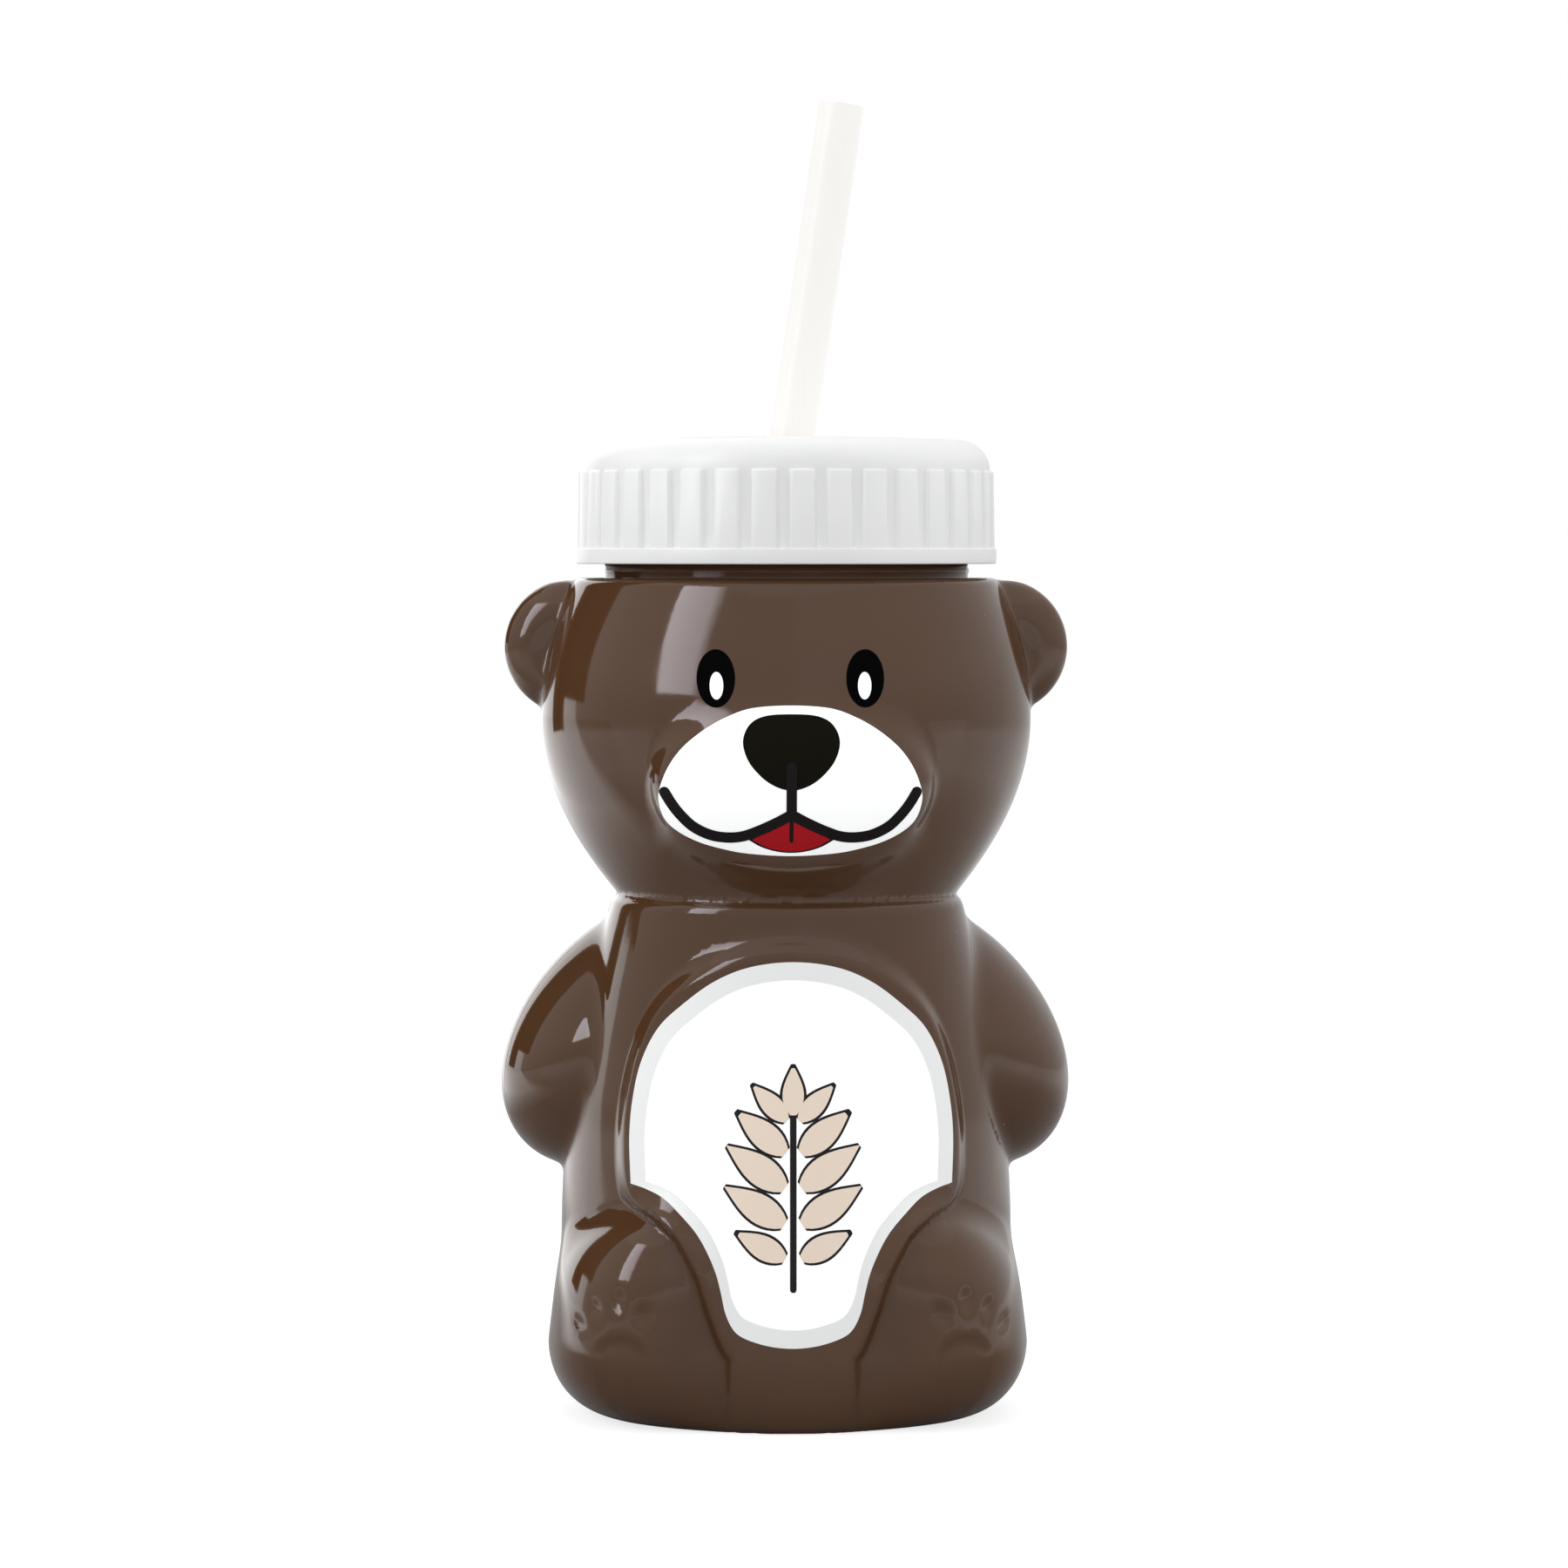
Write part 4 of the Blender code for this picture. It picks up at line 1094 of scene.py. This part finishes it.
def sideGlow(tree, rightGlow):
    # What the gloss sees brighter than the plain floor: a lit part behind on the left, a little on the right
    s = studio
    across, deep, offset = s["brightEdge"]
    behind, left, right = [
        addNode(tree, "ShaderNodeMapRange", {1: start * mm, 2: end * mm, 3: 0.0, 4: glow}, {0: distance})
        for distance, start, end, glow in (
            (alongAxis(tree, (across, deep, 0), offset), -s["brightSoft"], s["brightSoft"], 1.0),
            (alongAxis(tree, (-1, 0, 0)), *s["leftRamp"]),
            (alongAxis(tree, (1, 0, 0)), *s["rightRamp"], rightGlow))]
    return addNode(tree, "ShaderNodeMath", {"operation": "MULTIPLY_ADD"}, {0: behind, 1: left, 2: right})


def makeFloor():
    s = studio
    made, tree, shader = newMaterial("paleStudioFloor", s["floorAlbedo"], 0.9, glowOnly)
    away = addNode(tree, "ShaderNodeVectorMath", {"operation": "LENGTH"}, {0: objectPlace(tree)})
    away, ahead = away.outputs["Value"], alongAxis(tree, (0, -1, 0))
    total = sideGlow(tree, s["floorRightGlow"])
    for distance, ramp in ((away, s["nearRamp"]), (away, s["farRamp"]), (ahead, s["frontRamp"])):
        start, end, glow = ramp
        part = addNode(tree, "ShaderNodeMapRange", {1: start * mm, 2: end * mm, 3: 0.0, 4: glow},
                       {0: distance})
        total = addNode(tree, "ShaderNodeMath", {"operation": "ADD"}, {0: part, 1: total})
    mirrored = addNode(tree, "ShaderNodeMath", {"operation": "MULTIPLY"},
                       {0: rayMask(tree, "Is Glossy Ray"), 1: total})
    seen = rayMask(tree, "Is Camera Ray", "Is Transmission Ray")
    glow = addNode(tree, "ShaderNodeMath", {"operation": "MULTIPLY_ADD", 1: s["floorGlow"]},
                   {0: seen, 2: mirrored})
    linkInto(tree, shader, {"Emission Strength": glow})
    half = s["floorSize"] / 2
    corners = [(-half, -half, 0), (half, -half, 0), (half, half, 0), (-half, half, 0)]
    addMesh("studioFloor", corners, oneFace, made)


def makeWorld():
    world = bpy.data.worlds.new("whiteStudio")
    bpy.context.scene.world = world
    world.use_nodes = True
    tree = world.node_tree
    seen = rayMask(tree, "Is Camera Ray", "Is Glossy Ray", "Is Transmission Ray")
    strength = addNode(tree, "ShaderNodeMapRange", {3: studio["skyStrength"], 4: 1.0}, {0: seen})
    sky = tree.nodes["Background"]
    sky.inputs["Color"].default_value = (1, 1, 1, 1)
    linkInto(tree, sky, {"Strength": strength})


def placedAt(turn, rise, distance):
    turn, rise = math.radians(turn), math.radians(rise)
    level = math.cos(rise)
    return np.array((math.sin(turn) * level, -math.cos(turn) * level, math.sin(rise))) * distance


def addPanel(name, corners, faces, material):
    # Seen by the gloss alone, so it lights nothing and casts no shadow
    panel = addMesh(name, corners, faces, material)
    panel.visible_camera = panel.visible_diffuse = panel.visible_shadow = panel.visible_transmission = False


def makeWall():
    # The room round the table, brighter behind on the left as the floor is
    s = studio
    made, tree, shader = newMaterial("studioWallPaint", "#000000", 1.0, glowOnly)
    (start, end), (low, high) = s["wallRamp"], s["wallGlow"]
    rise = addNode(tree, "ShaderNodeMapRange", {1: start * mm, 2: end * mm, 3: low, 4: high},
                   {0: alongAxis(tree, (0, 0, 1))})
    total = addNode(tree, "ShaderNodeMath", {"operation": "ADD"},
                    {0: rise, 1: sideGlow(tree, s["wallRightGlow"])})
    linkInto(tree, shader, {"Emission Strength": total})
    angles = np.arange(s["wallSides"]) * math.tau / s["wallSides"]
    ring = np.stack((np.cos(angles), np.sin(angles)), axis=1) * s["wallRadius"]
    points = [(x, y, height) for height in (0, s["wallHeight"]) for x, y in ring]
    addPanel("studioWall", points, loftFaces(2, s["wallSides"])[:-2], made)


def makeKeyPanel():
    # The large soft box at the front left: brightest along its outer side
    k = studio["keyPanel"]
    settings = {**glowOnly, "Emission Color": k["colour"]}
    made, tree, shader = newMaterial("softBoxCloth", "#000000", 1.0, settings)
    out = placedAt(k["turn"], k["rise"], 1)
    side = np.array((math.cos(math.radians(k["turn"])), math.sin(math.radians(k["turn"])), 0))
    up = np.cross(out, side)
    up *= np.sign(up[2])
    middle = out * k["distance"] + (0, 0, studio["boxAimHeight"])
    half = k["size"][0] / 2
    across = alongAxis(tree, tuple(side), -(middle @ side))
    slope, edge = [
        addNode(tree, "ShaderNodeMapRange", {1: start * mm, 2: half * mm, 3: first, 4: last}, {0: across})
        for start, first, last in (
            (-half, k["bright"], k["dim"]), (half * k["fadeFrom"], 1.0, k["fadeTo"]))]
    fade = addNode(tree, "ShaderNodeMath", {"operation": "MULTIPLY"}, {0: slope, 1: edge})
    linkInto(tree, shader, {"Emission Strength": fade})
    side, up = side * half, up * k["size"][1] / 2
    corners = [middle - side - up, middle + side - up, middle + side + up, middle - side + up]
    addPanel("keyPanel", corners, oneFace, made)


def addSoftBox(name, box):
    lamp = bpy.data.lights.new(name, "AREA")
    lamp.shape = "RECTANGLE"
    lamp.size, lamp.size_y = box["size"][0] * mm, box["size"][1] * mm
    lamp.energy = box["power"]
    made = bpy.data.objects.new(name, lamp)
    bpy.context.scene.collection.objects.link(made)
    out = Vector(placedAt(box["turn"], box["rise"], box["distance"])) * mm
    made.location = Vector((0, 0, studio["boxAimHeight"] * mm)) + out
    made.rotation_euler = out.to_track_quat("Z", "Y").to_euler()
    made.visible_camera = made.visible_glossy = False


def addBoard(name, board):
    turn = math.radians(board["turn"])
    middle = placedAt(board["turn"], 0, board["distance"]) + (0, 0, board["low"])
    side = np.array((math.cos(turn), math.sin(turn), 0)) * board["width"] / 2
    up = np.array((0, 0, board["height"]))
    made, _, _ = newMaterial(name, board["colour"], 1.0, {"Specular IOR Level": 0.0})
    addPanel(name, [middle - side, middle + side, middle + side + up, middle - side + up], oneFace, made)


def makeStudio():
    makeFloor()
    makeWorld()
    makeWall()
    makeKeyPanel()
    for name, box in studio["softBoxes"].items():
        addSoftBox(name, box)
    for i, board in enumerate(studio["boards"], 1):
        addBoard(f"darkBoard{i}", board)
    bpy.context.scene.view_settings.view_transform = "Standard"


makeCamera(cameraView)
makeStudio()
print("studio ready")
makeBody(blowMouldedPlastic())
makePrints()
makeCap(mouldedCapPlastic())
makeSeal(sealFoam())
makeStraw(extrudedStrawPlastic())
